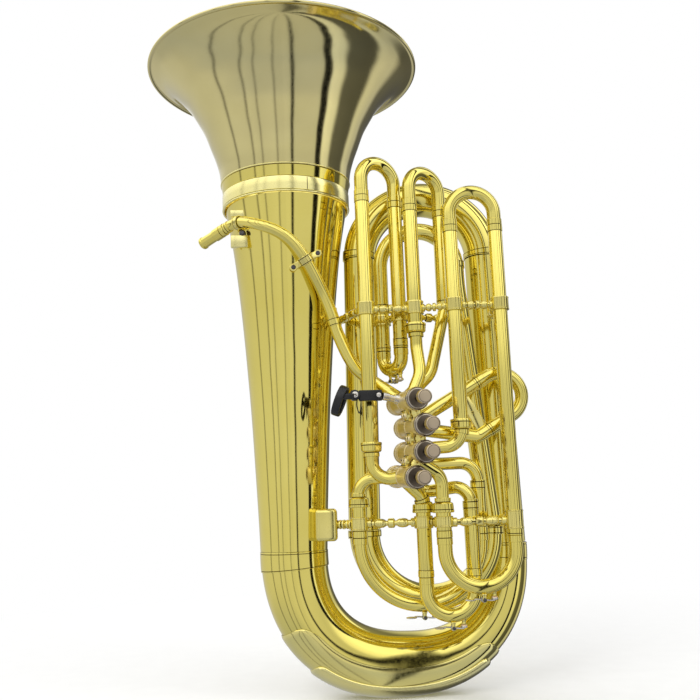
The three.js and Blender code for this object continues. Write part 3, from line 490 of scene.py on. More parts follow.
MATERIALS = {key: metal(*row) for key, row in METALS.items()} | {
    "felt": felt("cap_felt", (0.085, 0.07, 0.055)),
    "cork": cork("key_cork"),
    "black": plastic("black_plastic", (0.005, 0.005, 0.0055), 0.24),
}

# ---------------------------------------------------------------- bell

flare_at = pchip(
    [724.3, 742, 760, 785, 810, 835, 855, 870, 882, 892, 899.4],
    [94.6, 96.9, 101.5, 110.5, 120.0, 133.3, 145.6, 158.0, 169.6, 182.0, 196.2],
)
stack_at = pchip(
    [196.4, 232, 273, 315, 357, 399, 442, 486, 530, 575, 620, 682.8],
    [46.2, 47.6, 49.6, 51.8, 54.0, 56.6, 59.8, 63.3, 67.3, 72.0, 77.6, 88.4],
)


def bell_loop(radius_at, low, high, wall, steps, power=1.0):
    """Up the outside and down the inside."""
    zs = [low + (high - low) * (1 - (1 - k / steps) ** power) for k in range(steps + 1)]
    outside = [(radius_at(z), z) for z in zs]
    inside = []
    for i, (r, z) in enumerate(outside):
        a, b = outside[max(i - 1, 0)], outside[min(i + 1, steps)]
        slope = unit([b[0] - a[0], b[1] - a[1]])
        inside.append((r - slope[1] * wall, z + slope[0] * wall))
    return outside, inside


flare = Piece("bell_flare")
outside, inside = bell_loop(flare_at, 724.3, 899.0, 0.8, 110, 1.6)
bead = [
    (198.6 + 2.6 * math.cos(a), 900.2 + 2.6 * math.sin(a))
    for a in np.radians(np.linspace(-120, 175, 26))
]
inside = [q for q in inside if q[0] < 195.2]
# the flare takes the greyer, darker brass: painted grey reflection and shade
flare.lathe(
    outside + bead + inside[::-1], "brass_flare_painted_grey", sides=256, inside_from=len(outside) + 14, inside="brass_inside"
)
flare.done(sharp=60)

ring = Piece("bell_ring")
# the near-black rows are painted shade in the ring's grooves and under its edges, with tarnish
ring_profile = [
    (90.6, 682.9), (92.3, 682.6), (93.1, 683.1), (93.4, 684.0), (93.1, 684.9), (92.5, 685.2, "seam"), (92.5, 686.0),
    (93.0, 686.3),
    (93.1, 695), (93.1, 704.4), (92.9, 705.1), (92.4, 705.4), (91.7, 705.6, "seam"), (91.7, 706.3, "brass"),
    (92.0, 706.5, "brass"), (93.2, 714, "brass"), (94.3, 721.2, "brass"), (93.9, 721.5, "seam"), (93.9, 722.0),
    (95.0, 722.2), (95.6, 722.8), (95.6, 723.5), (95.1, 724.05), (93.2, 724.05), (90.9, 706), (90.6, 690),
]
ring.lathe(ring_profile, "brass_band", sides=192, inside_from=23, inside="brass_inside")
ring.block(
    (0.9, 0.5, 18), (BELL_X + 30, -math.sqrt(93.15**2 - 30**2), 695.5), "seam", 0.2,
    turn=Matrix.Rotation(math.atan2(30, 88), 3, "Z")
)
ring.done()

stack = Piece("bell_stack")
outside, inside = bell_loop(stack_at, 196.4, 682.8, 0.8, 90)
stack.lathe(outside + inside[::-1], "brass", sides=160, inside_from=len(outside), inside="brass_inside")
stack.done(sharp=60)

# ---------------------------------------------------------------- bows and branches


def horn_tube(node, path, outline, bore, sides=LARGE):
    """A brass tube of the horn, dark inside."""
    Piece(node).tube(path, outline, "brass", bore, sides, inside="bore_dark").done()


def bow_centreline():
    """Half of a rounded box, wider than it is deep."""
    points = []
    for k in range(BOW_STEPS + 1):
        c, s = math.cos(math.pi * k / BOW_STEPS), math.sin(math.pi * k / BOW_STEPS)
        points.append((
            BELL_X * math.copysign(abs(c) ** BOW_POWER, c), 0, BOW_TOP - BOW_DEPTH * abs(s) ** BOW_POWER,
        ))
    return Path(points)


BOW_STEPS, BOW_POWER, BOW_TOP, BOW_DEPTH = 150, 2 / 2.35, 196, 152.8
bow_path = bow_centreline()
BOW = bow_path.span
bow_radius = pchip([0, 0.3 * BOW, 0.5 * BOW, 0.75 * BOW, BOW], [45.9, 42.6, 39.6, 33.6, 28.9])
outline = [(BOW * k / 60, bow_radius(BOW * k / 60)) for k in range(61)]
outline = with_bands(outline, (0, 24, 46.8), (BOW - 22, BOW, 30.3))
for at in (2.6, 22.4, BOW - 19.5, BOW - 2.5):
    outline = with_line(outline, at, 0.9, 0.5)
horn_tube("bottom_bow", bow_path, outline, [(0, 44.8), (0.5 * BOW, 38.4), (BOW, 27.6)])


def guard_shell(piece, start, end, reach, corner, low, high, material):
    """A plate round the outside of the bow between two shares of its length: thin, rounded corners and edges."""
    rows, columns = 100, 40
    verts, faces = [], []
    for layer in (0, 1):
        for i in range(rows + 1):
            share = i / rows
            s = (start + (end - start) * share) * BOW
            point, tangent = bow_path.place(s)
            out = unit(np.array([tangent[2], 0, -tangent[0]]))
            ends = min(share, 1 - share)
            close = math.sqrt(max(0.0, 1 - (1 - min(1.0, ends / corner)) ** 2))
            half = math.radians(reach * (0.68 + 0.32 * close))
            for k in range(columns + 1):
                edge = k / columns * 2 - 1
                soft = min(1.0, (1 - abs(edge)) * 16 + 0.2) ** 0.5 * min(1.0, ends * 60 + 0.2) ** 0.5
                r = bow_radius(s) + low + (high - low) * (soft if layer else 0)
                spot = point + out * r * math.cos(half * edge) + np.array([0, 1, 0]) * r * math.sin(half * edge)
                verts.append((spot[0], spot[1], max(spot[2], 0.02 if layer else 0.4)))
    stride = (rows + 1) * (columns + 1)
    for i in range(rows):
        for k in range(columns):
            q = i * (columns + 1) + k
            faces.append((q, q + 1, q + columns + 2, q + columns + 1))
            faces.append((stride + q, stride + q + columns + 1, stride + q + columns + 2, stride + q + 1))
        for k in (0, columns):
            q = i * (columns + 1) + k
            faces.append((q, q + columns + 1, stride + q + columns + 1, stride + q))
    for k in range(columns):
        for i in (0, rows):
            q = i * (columns + 1) + k
            faces.append((q, q + 1, stride + q + 1, stride + q))
    return piece.shell(verts, faces, material)


guard = Piece("bow_guard")
guard_shell(guard, 0.19, 0.733, 88, 0.12, 0.4, 2.7, "brass_guard")
guard_shell(guard, 0.28, 0.703, 53, 0.05, 2.0, 5.6, "brass_band")
guard.done(sharp=50)

outer_path = route((147.5, 0, 196.9), (141.6, 0, 607))
O = outer_path.span
horn_tube("outer_branch", outer_path, taper(28.6, 26.3, O, 6), taper(27.2, 25, O))

top_path = route((141.6, 0, 608), (141.6, 0, 699.9, 91.6), (-41.6, 0, 699.9, 91.6), (-41.6, 0, 608), step=3)
T = top_path.span
outline = with_bands(taper(26.5, 23.3, T, 40), (0, 11, 27.8, 2), (T - 11, T, 24.8, 2))
horn_tube("top_bow", top_path, outline, taper(25.2, 22.2, T))

middle_path = route((-49, 0, 220.9), (-41.7, 0, 607))
M = middle_path.span
horn_tube("middle_branch", middle_path, taper(22.2, 23.2, M, 4), taper(21, 22.2, M), 80)

inner_bow_path = u_route((-49, 0), (120.4, -38), 220, 214)
N = inner_bow_path.span
outline = with_bands(taper(21.4, 14.9, N, 40), (0, 10, 23.3, 2), (N - 10, N, 16.8, 2))
horn_tube("inner_bottom_bow", inner_bow_path, outline, taper(20.8, 14.2, N), 80)

inner_path = route((120.4, -38, 221.6), (118.9, -37.8, 240, 300), (92, -33.4, 560, 300), (92, -33, 584))
I = inner_path.span
horn_tube("inner_branch", inner_path, taper(15.4, 13.4, I, 6), taper(14.2, 12.2, I), 64)

inner_top_path = route(
    (92, -33, 584.4), (92, -33, 641.5, 53.5), (-15, -29, 641.5, 53.5), (*LEG["water_l"], 466), step=4
)
K = inner_top_path.span
outline = with_bands(
    taper(13.4, 10.2, 150, 24) + [(K, TUBE)], (0, 9, 14.7, 2), (226, 236, 11.2, 2), (K - 8, K, FERRULE + 0.1, 1)
)
horn_tube("inner_top_bow", inner_top_path, outline, [(0, 12.2), (150, 9), (K, BORE)], 56)

# ---------------------------------------------------------------- slides


def slide_shells(piece, path, engaged, crook=CROOK, inner=SLIDE, bore=6.8, collar=FERRULE - 0.2):
    """A crook with its two bare inner legs; collars sit a hair beyond the outer tubes' mouths."""
    span = path.span
    # a near-black band on the inner leg and the collar's step, where they meet the outer tube's mouth: painted shade
    # in the gap
    end = [
        (0, inner - 0.3), (0.6, inner), (engaged - 0.6, inner, "seam"), (engaged + 0.35, inner, "seam"),
        (engaged + 0.4, collar - 0.4), (engaged + 0.8, collar), (engaged + 8.4, collar),
        (engaged + 8.8, collar - 0.35), (engaged + 8.85, crook),
    ]
    piece.tube(path, end + mirrored(end, span), "brass", taper(bore, bore, span), 44, inside="bore_dark")
    return piece


for name, a, b, key in (
    ("main_tuning_slide", "tuning_l", "tuning_r", "tuning"),
    ("first_valve_slide", "first_l", "first_r", "first"),
    ("third_valve_upper_slide", "third_l", "third_r", "third"),
):
    path = u_route(LEG[a], LEG[b], TOP_MOUTH[key] - 60, TOP_BEND[key])
    slide_shells(Piece(name), path, 60).done(name)


def place_key(piece, pivot, heading, since=0):
    return piece.moved(Matrix.Translation(Vector(pivot)) @ Matrix.Rotation(heading, 4, "Z"), since)


def key_seat(piece, pivot, heading):
    """The drain nipple and the saddle that the key hangs in, both soldered to the crook."""
    since = len(piece.verts)
    piece.tube(
        route((KEY_CUP_AT, 0, 3.9), (KEY_CUP_AT, 0, 10.5)),
        [(0, 2.2), (0.3, 2.7), (2.2, 2.7), (2.6, 2.5), (4.4, 2.8), (6.6, 4.2)], "brass_sleeve",
        taper(1.6, 1.6, 6.6), 24,
    )
    piece.block((6.2, 13.4, 2.2), (0, 0, 6.7), "brass_sleeve", 0.8)
    for y in (-5.6, 5.6):
        piece.tube(
            route((0, y - 0.8, 0), (0, y + 0.8, 0)), [(0, 2.5), (0.3, 2.8), (1.3, 2.8), (1.6, 2.5)], "brass_sleeve",
            sides=24
        )
        piece.block((4.4, 1.6, 7.2), (0, y, 3.4), "brass_sleeve", 0.5)
        way = math.copysign(1, y)
        piece.turned(
            (0, y + way * 0.7, 0), (0, y + way * 2.4, 0), [(0, 1.9), (0.3, 2.2), (0.8, 2.2), (1, 1.6)],
            "dark_steel", 20
        )
    return place_key(piece, pivot, heading, since)


def key_shells(node, pivot, heading, reach):
    """Hub, spring coil, curved lever, oval finger plate and corked cup."""
    piece = Piece(node)
    piece.tube(route((0, -4.3, 0), (0, 4.3, 0)), [(0, 1.9), (0.4, 2.3), (8.2, 2.3), (8.6, 1.9)], "nickel", sides=28)
    for side in (-1, 1):
        turns = [(k / 20, k * 2 * math.pi / 20) for k in range(61)]
        coil = Path([(3.05 * math.cos(a), side * (1.5 + 0.8 * k), 3.05 * math.sin(a)) for k, a in turns])
        piece.tube(coil, taper(0.36, 0.36, coil.span), "steel", sides=8)
    lever = catmull(
        [(-reach + 4, 0, 0.9), (-reach * 0.55, 0, 1.2), (0, 0, 0.2), (KEY_CUP_AT * 0.6, 0, -0.9),
        (KEY_CUP_AT, 0, -1.0)], 8
    )
    rows = []
    for i, (p, t) in enumerate(zip(lever.points, lever.tangents)):
        share = i / (len(lever.points) - 1)
        half = 1.5 + 1.3 * abs(share - 0.45)
        up = unit(np.cross(t, [0, 1, 0]))
        up = up if up[2] > 0 else -up
        rows.append([p + np.array([0, half * y, 0]) + up * 0.85 * z for y, z in (
            (-0.8, -1), (0.8, -1), (1, -0.6), (1, 0.6), (0.8, 1), (-0.8, 1), (-1, 0.6), (-1, -0.6))])
    count = len(rows) - 1
    faces = [f for i in range(count) for f in girdle(i * 8, (i + 1) * 8, 8)]
    faces += [tuple(reversed(range(8))), tuple(count * 8 + k for k in range(8))]
    piece.shell(np.concatenate(rows), faces, "nickel")
    since = len(piece.verts)
    plate = [(0, 0.02), (0.02, 5.4), (0.35, 6.1), (0.9, 6.5), (1.4, 6.4), (1.8, 5.8), (1.98, 4.4), (2.0, 0.02)]
    piece.tube(route((0, 0, -1.0), (0, 0, 1.0)), plate, "nickel", sides=40)
    piece.moved(Matrix.Translation((-reach, 0, 0.1)) @ Matrix.Diagonal((1.12, 0.9, 1, 1)), since)
    piece.tube(
        route((KEY_CUP_AT, 0, -0.9), (KEY_CUP_AT, 0, 2.4)),
        [(0, 2.6), (0.3, 3.6), (0.9, 4.3), (2.6, 4.4), (3.3, 4.1)], "nickel", sides=32,
    )
    piece.tube(
        route((KEY_CUP_AT, 0, 2.2), (KEY_CUP_AT, 0, 3.5)), [(0, 3.7), (1.0, 3.7), (1.3, 3.3)], "cork", sides=28
    )
    place_key(piece, pivot, heading).done(node, "nickel")


LOW = (
    ("fourth_valve_slide", "fourth_l", "fourth_r", LOW_MOUTH["fourth"], LOW_BEND["fourth"], 40, 17),
    ("fourth_valve_short_slide", "aux_l", "aux_r", LOW_MOUTH["aux"], LOW_BEND["aux"], 46, 17),
    ("third_valve_lower_slide", "third_low", "third_r", LOW_MOUTH["third"], LOW_BEND["third"], 34, 17),
    ("water_slide", "water_l", "tuning_r", 465.5, 455, 40, 13),
)
# two slides pass close by a neighbour when they are pulled, and are a little thinner there
SLIM = {"fourth_valve_slide": {"crook": 9.0}, "fourth_valve_short_slide": {"collar": 9.8}}
for number, (name, a, b, mouth, bend, engaged, reach) in enumerate(LOW, 1):
    leg_a, leg_b = LEG[a], LEG[b]
    radius = math.hypot(leg_a[0] - leg_b[0], leg_a[1] - leg_b[1]) / 2
    pivot = ((leg_a[0] + leg_b[0]) / 2, (leg_a[1] + leg_b[1]) / 2, bend - radius - CROOK - KEY_DROP)
    heading = math.atan2(leg_b[1] - leg_a[1], leg_b[0] - leg_a[0])
    piece = Piece(name)
    slide_shells(piece, u_route(leg_a, leg_b, mouth + engaged, bend), engaged, **SLIM.get(name, {}))
    key_seat(piece, pivot, heading).done(name)
    key_shells(f"water_key_{number}", pivot, heading, reach)

# ---------------------------------------------------------------- valves


def valve_point(valve, t):
    return VALVE_FEET[valve] + VALVE_AXIS * t


def valve_path(valve, start, end):
    return route(valve_point(valve, start), valve_point(valve, end))


COPE = 12.9  # where tubes end in a casing's wall, from the valve's axis


def saddle_cut(piece, path, since=0):
    """Draws a tube's end back along its own line until it lies in the casings' walls, as a coped joint does."""
    tip, back = path.points[-1], -path.tangents[-1]
    for i in range(since, len(piece.verts)):
        spot = np.array(piece.verts[i])
        if np.linalg.norm(spot - tip) > 34:
            continue
        for foot in VALVE_FEET:
            away = spot - foot
            if not -2 < float(away @ VALVE_AXIS) < CASING_TOP:
                continue
            q, u = away - VALVE_AXIS * float(away @ VALVE_AXIS), back - VALVE_AXIS * float(back @ VALVE_AXIS)
            a, b, c = float(u @ u), 2 * float(q @ u), float(q @ q) - COPE**2
            if c < 0 and a > 1e-6:
                spot = spot + back * (-b + math.sqrt(b * b - 4 * a * c)) / (2 * a)
        piece.verts[i] = tuple(spot)


block = Piece("valve_block")
for v in range(4):
    outline = with_bands(
        taper(CASING, CASING, CASING_TOP - 0.3), (3, 9, 14.5, 2), (46, 48.4, 14.1), (86, 94.6, 14.4, 2)
    )
    block.tube(
        valve_path(v, 0, CASING_TOP - 0.3), outline, "casing", taper(12.2, 12.2, CASING_TOP - 0.3), 64,
        inside="nickel"
    )
    # the bottom cap's near-black rows are painted shade in its steps, with tarnish
    block.tube(
        valve_path(v, -8, 2.4),
        [(0, 6.0), (0.1, 9.6), (1.2, 11.4), (2.0, 13.6, "seam"), (2.6, 15.0), (3.0, 15.4), (9.4, 15.4, "seam"),
        (10.0, 15.1), (10.4, 14.4)],
        "casing", sides=160, flute=(40, 0.5, 2.9, 9.5),
    )
    block.tube(
        valve_path(v, -9.2, -7.9), [(0, 2.6), (0.3, 3.0), (1.3, 3.2)], "brass_sleeve", taper(1.5, 1.5, 1.3), 24,
        inside="felt"
    )
for v in range(3):
    for t in (30, 74):
        start, end = valve_point(v, t), valve_point(v + 1, t)
        run = unit(end - start)
        start, end = start + run * 11.95, end - run * 11.95
        span = float(np.linalg.norm(end - start))
        block.tube(
            route(start, end), with_bands(taper(7, 7, span), (span / 2 - 2.2, span / 2 + 2.2, 7.7)), "brass_sleeve",
            sides=32
        )
    start, end = valve_point(v, 66), valve_point(v + 1, 66)
    run = unit(end - start)
    side = unit(np.cross(VALVE_AXIS, run))
    side = side if side[0] < 0 else -side
    seat = (start + end) / 2 + side * 11.4
    turn = Matrix(np.array([VALVE_AXIS, run, side]).T.tolist())
    block.block((21, 15.5, 4.6), seat, "brass_sleeve", 0.7, turn=turn)
    # two near-black lines along the plate: painted shade lines at its edges
    block.block((22, 1.0, 1.0), seat + side * 2.2 + run * 6.6, "seam", 0.2, turn=turn)
    block.block((22, 1.0, 1.0), seat + side * 2.2 - run * 6.6, "seam", 0.2, turn=turn)
    for at in (-5.2, 5.2):
        spot = seat + VALVE_AXIS * at
        block.turned(
            spot + side * 2.0, spot + side * 4.4, [(0, 4.4), (0.3, 4.4), (0.5, 3.7), (0.9, 3.4), (1, 3.0)],
            "casing", 36
        )
        # a near-black dot on each screw head: painted shade of its slot
        block.turned(spot + side * 4.3, spot + side * 4.6, [(0, 1.5), (1, 1.4)], "seam", 24)
block.done()

for v in range(4):
    n = v + 1
    cap = Piece(f"top_cap_{n}")
    # the cap's near-black row is painted shade in its step
    cap.tube(
        valve_path(v, CASING_TOP + 0.3, 103),
        [(0, 14.2), (0.4, 14.9), (5.2, 14.9), (5.9, 14.5), (6.6, 13.9, "seam"), (6.7, 13.4), (7.5, 13.0),
        (7.7, 12.6)],
        "cap", taper(4.4, 4.4, 7.7), 160, flute=(40, 0.45, 0.5, 5.1), inside="dark_steel",
    )
    # a dark ring on the cap's top, round the stem: painted shade under the button
    cap.tube(
        valve_path(v, 102.8, 103.6), [(0, 11.6), (0.2, 11.8), (0.6, 11.8), (0.8, 11.6)], "recess_shade",
        taper(4.2, 4.2, 0.8), 64
    )
    cap.done(slot="nickel")

    piston = Piece(f"piston_{n}")
    barrel = with_bands(taper(11.5, 11.5, 52.5), (0.4, 2.4, 11.7), (50, 52.2, 11.7))
    piston.tube(valve_path(v, 42, 94.5), barrel, "nickel", sides=48)
    # dark discs stand for the piston's port holes: painted shade where the holes would be
    for t, roll in ((52, 0.3), (66, 2.2), (80, 4.1)):
        since = len(piston.verts)
        side = unit(np.cross(VALVE_AXIS, [math.cos(roll), 0, math.sin(roll)]))
        spot = valve_point(v, t) + side * 11.3
        piston.turned(spot, spot + side * 0.3, [(0, 5.4), (0.7, 5.4), (1, 5.0)], "bore_dark", 28)
    # the stem is dark: painted shade under the button
    piston.tube(valve_path(v, 92, 126), [(0, 3.2), (30, 3.2), (31.5, 4.6), (34, 5.0)], "recess_shade", sides=28)
    piston.tube(
        valve_path(v, 122.2, 124.2), [(0, 7.4), (0.3, 7.8), (1.7, 7.8), (2.0, 7.4)], "felt", taper(3.3, 3.3, 2.0), 44
    )
    piston.tube(
        valve_path(v, 124.2, 136),
        [(0, 6.4), (0.4, 8.2), (0.9, 8.8), (3.6, 9.0), (10.2, 9.0), (10.9, 8.8), (11.4, 8.3), (11.7, 7.6),
        (11.75, 4.0), (11.8, 0.02)],
        "button", sides=72,
    )
    # a thin near-black ring on the button's top
    piston.tube(valve_path(v, 135.2, 136.05), taper(7.7, 7.55, 0.85), "seam", taper(7.0, 7.1, 0.85), 72)
    piston.done(piston.node, "nickel")

    across = unit(np.cross([1.0, 0, 0], VALVE_AXIS))
    other = np.cross(VALVE_AXIS, across)
    wire = [
        valve_point(v, 2.6 + 16 * k / 96) + across * 8.6 * math.cos(k * math.pi / 12) + other * 8.6 * math.sin(k * math.pi / 12)
        for k in range(97)
    ]
    coil = Path(wire)
    spring = Piece(f"valve_spring_{n}")
    spring.tube(coil, taper(0.85, 0.85, coil.span), "steel", sides=12)
    spring.done(slot="spring_steel")

# ---------------------------------------------------------------- valve tubing


def leg_skin(node, path, cut=0, joint=None, cup=True, bands=()):
    """A fixed tube, `cut` short of its path's end. Past the joint, a cup or a plain ferrule, it is slimmer."""
    path = path.part(0, path.span - max(cut - 6, 1)) if cut else path
    span = path.span
    outline = with_bands(taper(TUBE, TUBE, span), (0, 8.4, FERRULE), *bands)
    # the ferrule's top edge and its lower step take the near-black finish: painted shade at the slide's collar and
    # under the ferrule's lip
    outline[0] = (0, FERRULE - 0.5, "seam")
    outline = [q for q in outline if not 8.3 < q[0] < 8.5] + [
        (8.4, FERRULE - 0.3, "seam"), (9.1, TUBE - 0.1), (9.4, TUBE)
    ]
    outline.sort(key=lambda q: q[0])
    bore = taper(BORE, BORE, span)
    if joint:
        top, low = joint - 6.5, joint + 6.5
        # the near-black rows in the cup and the ferrule are painted shade in their steps and grooves, with solder
        # lines
        if cup:
            ferrule = [
                (top - 0.02, TUBE), (top, 13.2), (top + 0.4, 13.9), (top + 1, FLANGE), (top + 3.4, FLANGE),
                (top + 3.6, 13.6, "seam"),
                (top + 4.3, 13.6), (top + 4.5, 13.9), (top + 11, 13.4), (top + 12.3, 12.4), (low, 11),
                (low + 0.2, 10.1, "seam"),
                (low + 0.9, 10.1), (low + 1.1, 10.5), (low + 5.4, 10.5), (low + 5.8, 10.2, "seam"),
                (low + 5.82, VALVE_END),
            ]
        else:
            ferrule = [
                (top, 10.1), (top + 0.3, FERRULE), (top + 2, FERRULE), (top + 2.2, FERRULE - 0.6, "seam"),
                (top + 3, FERRULE - 0.6),
                (top + 3.2, FERRULE), (low - 3.2, FERRULE), (low - 3, FERRULE - 0.6, "seam"),
                (low - 2.2, FERRULE - 0.6),
                (low - 2, FERRULE), (low - 0.3, FERRULE), (low, 10), (low + 0.02, VALVE_END),
            ]
        outline = [q for q in outline if q[0] < ferrule[0][0]] + ferrule + [(span, VALVE_END)]
        bore = [(0, BORE), (top, BORE), (low, VALVE_END - 1), (span, VALVE_END - 1)]
    piece = Piece(node)
    piece.tube(path, outline, "brass", bore, 44, inside="bore_dark")
    saddle_cut(piece, path)
    piece.done()


leg_skin(
    "tuning_leg_left", route((*LEG["tuning_l"], 676), (*LEG["tuning_l"], 284, 24), (-8, -96, 289)), 10, joint=347
)
leg_skin("tuning_leg_right", upright(LEG["tuning_r"], 676, 466), bands=[(196, 210, FERRULE, 2)])
leg_skin(
    "first_leg_left", route((*LEG["first_l"], 661.5), (*LEG["first_l"], 462, 40), (26, -93, 425, 40),
    (8, -101, 386)), 12, joint=173.5
)
leg_skin(
    "first_leg_right", route((*LEG["first_r"], 661.5), (*LEG["first_r"], 520, 40), (44, -66, 428, 36),
    (2, -74, 389)), 12, joint=135, cup=False
)
leg_skin("third_leg_left", route((*LEG["third_l"], 626), (*LEG["third_l"], 327, 22), (10, -90, 324)), 6, joint=271)
leg_skin("third_leg_right", upright(LEG["third_r"], 626, 210), bands=[(402.5, 416, FERRULE, 2)])
leg_skin("third_leg_low", route((*LEG["third_low"], 210), (*LEG["third_low"], 289, 22), (8, -122, 311)), 8, joint=38)
leg_skin(
    "fourth_short_leg_left", route((*LEG["aux_l"], 160), (*LEG["aux_l"], 262, 20), (-4, -93, 286)), 10, joint=88.5
)
leg_skin(
    "fourth_short_leg_right",
    route((*LEG["aux_r"], 160), (*LEG["aux_r"], 276, 20), (30, -59, 269, 20), (-4, -72, 288)), 12, joint=90, cup=False
)
leg_skin("fourth_leg_left", route((*LEG["fourth_l"], 212), (*LEG["fourth_l"], 288, 22), (-6, -69, 291)), 13, joint=46)
leg_skin(
    "fourth_leg_right", route((*LEG["fourth_r"], 212), (*LEG["fourth_r"], 306, 24), (4, -66, 305)), 12, joint=64,
    cup=False
)

# ---------------------------------------------------------------- second valve

SY, TILT, HALF = -70, math.radians(30), 31
SX, SZ = 136, 394.5


def on_second(out, up):
    c, s = math.cos(TILT), math.sin(TILT)
    return (SX + out * c - up * s, SY, SZ + out * s + up * c)


second = Piece("second_valve_legs")
for path, bands in (
    (route(on_second(-15, HALF), on_second(-118, HALF)), [(0, 6, 10, 1), (22, 23, 9.6), (88, 94, 10.2, 2)]),
    (route(on_second(-34, -HALF), (*on_second(-56, -HALF), 14), (14, -79, 353)),
    [(0, 6, 10, 1), (100, 106, 10.2, 2)]),
):
    bands = [b for b in bands if b[1] < path.span]
    since = len(second.verts)
    second.tube(
        path, with_bands(taper(9.2, 9.2, path.span), *bands), "brass", taper(8.3, 8.3, path.span), 40,
        inside="bore_dark"
    )
    saddle_cut(second, path, since)
second.block((15, 2.6, 50), on_second(-44, 0), "brass_sleeve", 0.8, turn=Matrix.Rotation(-TILT, 3, "Y"))
second.turned(
    np.array(on_second(-44, 0)) + [0, -2.4, 0], np.array(on_second(-44, 0)) + [0, 0, 0],
    [(0, 1.4), (0.3, 1.9), (1, 1.9)], "brass_sleeve", 20)
second.done()

second_path = route(
    on_second(-27, HALF), (*on_second(HALF, HALF), HALF), (*on_second(HALF, -HALF), HALF), on_second(-46, -HALF)
)
slide_shells(Piece("second_valve_slide"), second_path, 12, crook=9.0, inner=7.3, bore=6.3, collar=9.8).done(
    "second_valve_slide")

# ---------------------------------------------------------------- leadpipe and receiver

lead_path = catmull(
    [
        (-233.5, -44, 645), (-225, -50.5, 648.2), (-210, -64, 648), (-187, -84, 638), (-160.5, -88, 627),
        (-141, -87, 612.5), (-124.5, -82, 591), (-110.5, -73, 567), (-98.5, -63, 543), (-88, -60, 515),
        (-80, -60, 486), (-58, -61, 440), (-36, -63, 420), (-14, -74, 402), (0, -88, 390),
    ], 10,
)
LP = lead_path.span
outline = [(LP * k / 50, 7.3 + (9.2 - 7.3) * (k / 50)) for k in range(50)] + [(LP - 6, 9.1)]
outline = with_bands(outline, (0, 8, 8.3, 1), (0.6 * LP, 0.6 * LP + 12, 9.1, 2))
lead = Piece("leadpipe")
lead.tube(lead_path, outline, "brass", [(0, 5.6), (LP * 0.5, 6.8), (LP - 6, 8.2)], 44, inside="bore_dark")
saddle_cut(lead, lead_path)
lead.done()

lead_start = lead_path.points[0]
lead_ahead = unit([0.76105, -0.58195, 0.2866])
receiver_path = route(lead_start - lead_ahead * 0.35, lead_start - lead_ahead * 46)
RP = receiver_path.span
# the near-black row is painted shade in the receiver's groove
outline = [
    (0, 8.4), (0.4, 9.0), (6, 9.0), (6.2, 8.4, "seam"), (7, 8.4), (7.2, 9.0), (19.4, 9.0), (20, 8.4), (20.4, 7.9),
    (30, 7.9),
    (RP - 4.8, 8.1), (RP - 4.4, 8.6), (RP - 3.6, 8.9), (RP - 1, 8.9), (RP - 0.3, 8.6), (RP, 8.0),
]
horn_tube("mouthpiece_receiver", receiver_path, outline, [(0, 4.8), (RP - 0.6, 6.6), (RP, 7.2)], 56)


def bell_surface(x, z, out=0.0):
    """The point on the bell's outside at that x and z, on the side the valves face."""
    r = (stack_at(z) if z < 683 else flare_at(z)) + out
    return np.array([x, -math.sqrt(max(r * r - (x - BELL_X) ** 2, 0)), z])


saddle = Piece("receiver_bracket")
saddle.block((22, 7, 10), (-214.5, -57, 662.5), "brass_band", 1.2)
saddle.block((24, 7, 18), (-213.5, -57, 622), "brass_band", 1.4)
saddle.block((14, 5, 50), (-209.5, -49.5, 641), "brass_sleeve", 1.2)
at, ahead = lead_path.place(0.062 * LP)
# the near-black row is painted shade in the sleeve's groove
saddle.tube(
    route(at - ahead * 4, at + ahead * 4),
    [(0, 8.9), (0.4, 9.6), (1.6, 9.7), (1.8, 9.2, "seam"), (2.6, 9.2), (2.8, 9.7), (7.6, 9.6), (8, 8.9)],
    "brass_sleeve", taper(8.3, 8.3, 8), 44)
saddle.turned(
    (-209, -63.5, 633.5), (-209, -57, 633.5), [(0, 2.2), (0.2, 3.2), (0.5, 3.2), (0.55, 4.6), (1, 4.8)],
    "dark_steel", 32
)
saddle.done()

clamp_at, clamp_ahead = lead_path.place(0.374 * LP)
clamp = Piece("leadpipe_clamp")
# the near-black rows are painted shade in the clamp's grooves
clamp.tube(
    route(clamp_at - clamp_ahead * 6, clamp_at + clamp_ahead * 6),
    [(0, 9.6), (0.4, 10.1), (1.4, 10.2), (1.6, 9.8, "seam"), (2.2, 9.8), (2.4, 10.2), (9.6, 10.2),
    (9.8, 9.8, "seam"), (10.4, 9.8),
     (10.6, 10.2), (11.6, 10.1), (12, 9.6)],
    "brass_sleeve", taper(8.5, 8.5, 12), 40)
sideways = unit([0.865, 0, 0.5])
for way in (-1, 1):
    start, lug = clamp_at + sideways * way * 9.2 + [0, 2, 0], clamp_at + sideways * way * 19.5 + [0, 4.5, 0]
    strap = unit(lug - start)
    over = unit(np.cross(strap, [0, 1, 0]))
    turn = Matrix(np.array([strap, np.cross(over, strap), over]).T.tolist())
    clamp.block((float(np.linalg.norm(lug - start)) + 1, 2.4, 9), (start + lug) / 2, "brass_sleeve", 0.7, turn=turn)
    clamp.turned(
        lug + [0, -1.4, 0], lug + [0, 1.4, 0], [(0, 5.0), (0.2, 5.5), (0.8, 5.5), (1, 5.0)], "brass_sleeve", 40
    )
    clamp.turned(lug + [0, -3.0, 0], lug + [0, -1.2, 0], [(0, 2.2), (0.35, 3.1), (1, 3.3)], "dark_steel", 32)
foot = clamp_at + np.array([0, 8.8, -1])
clamp.turned(
    foot, bell_surface(foot[0], foot[2], -1.5), [(0, 4.2), (0.4, 3.2), (0.75, 3.6), (0.9, 6.8), (1, 7.2)],
    "brass_sleeve", 32
)
clamp.done()

# ---------------------------------------------------------------- braces

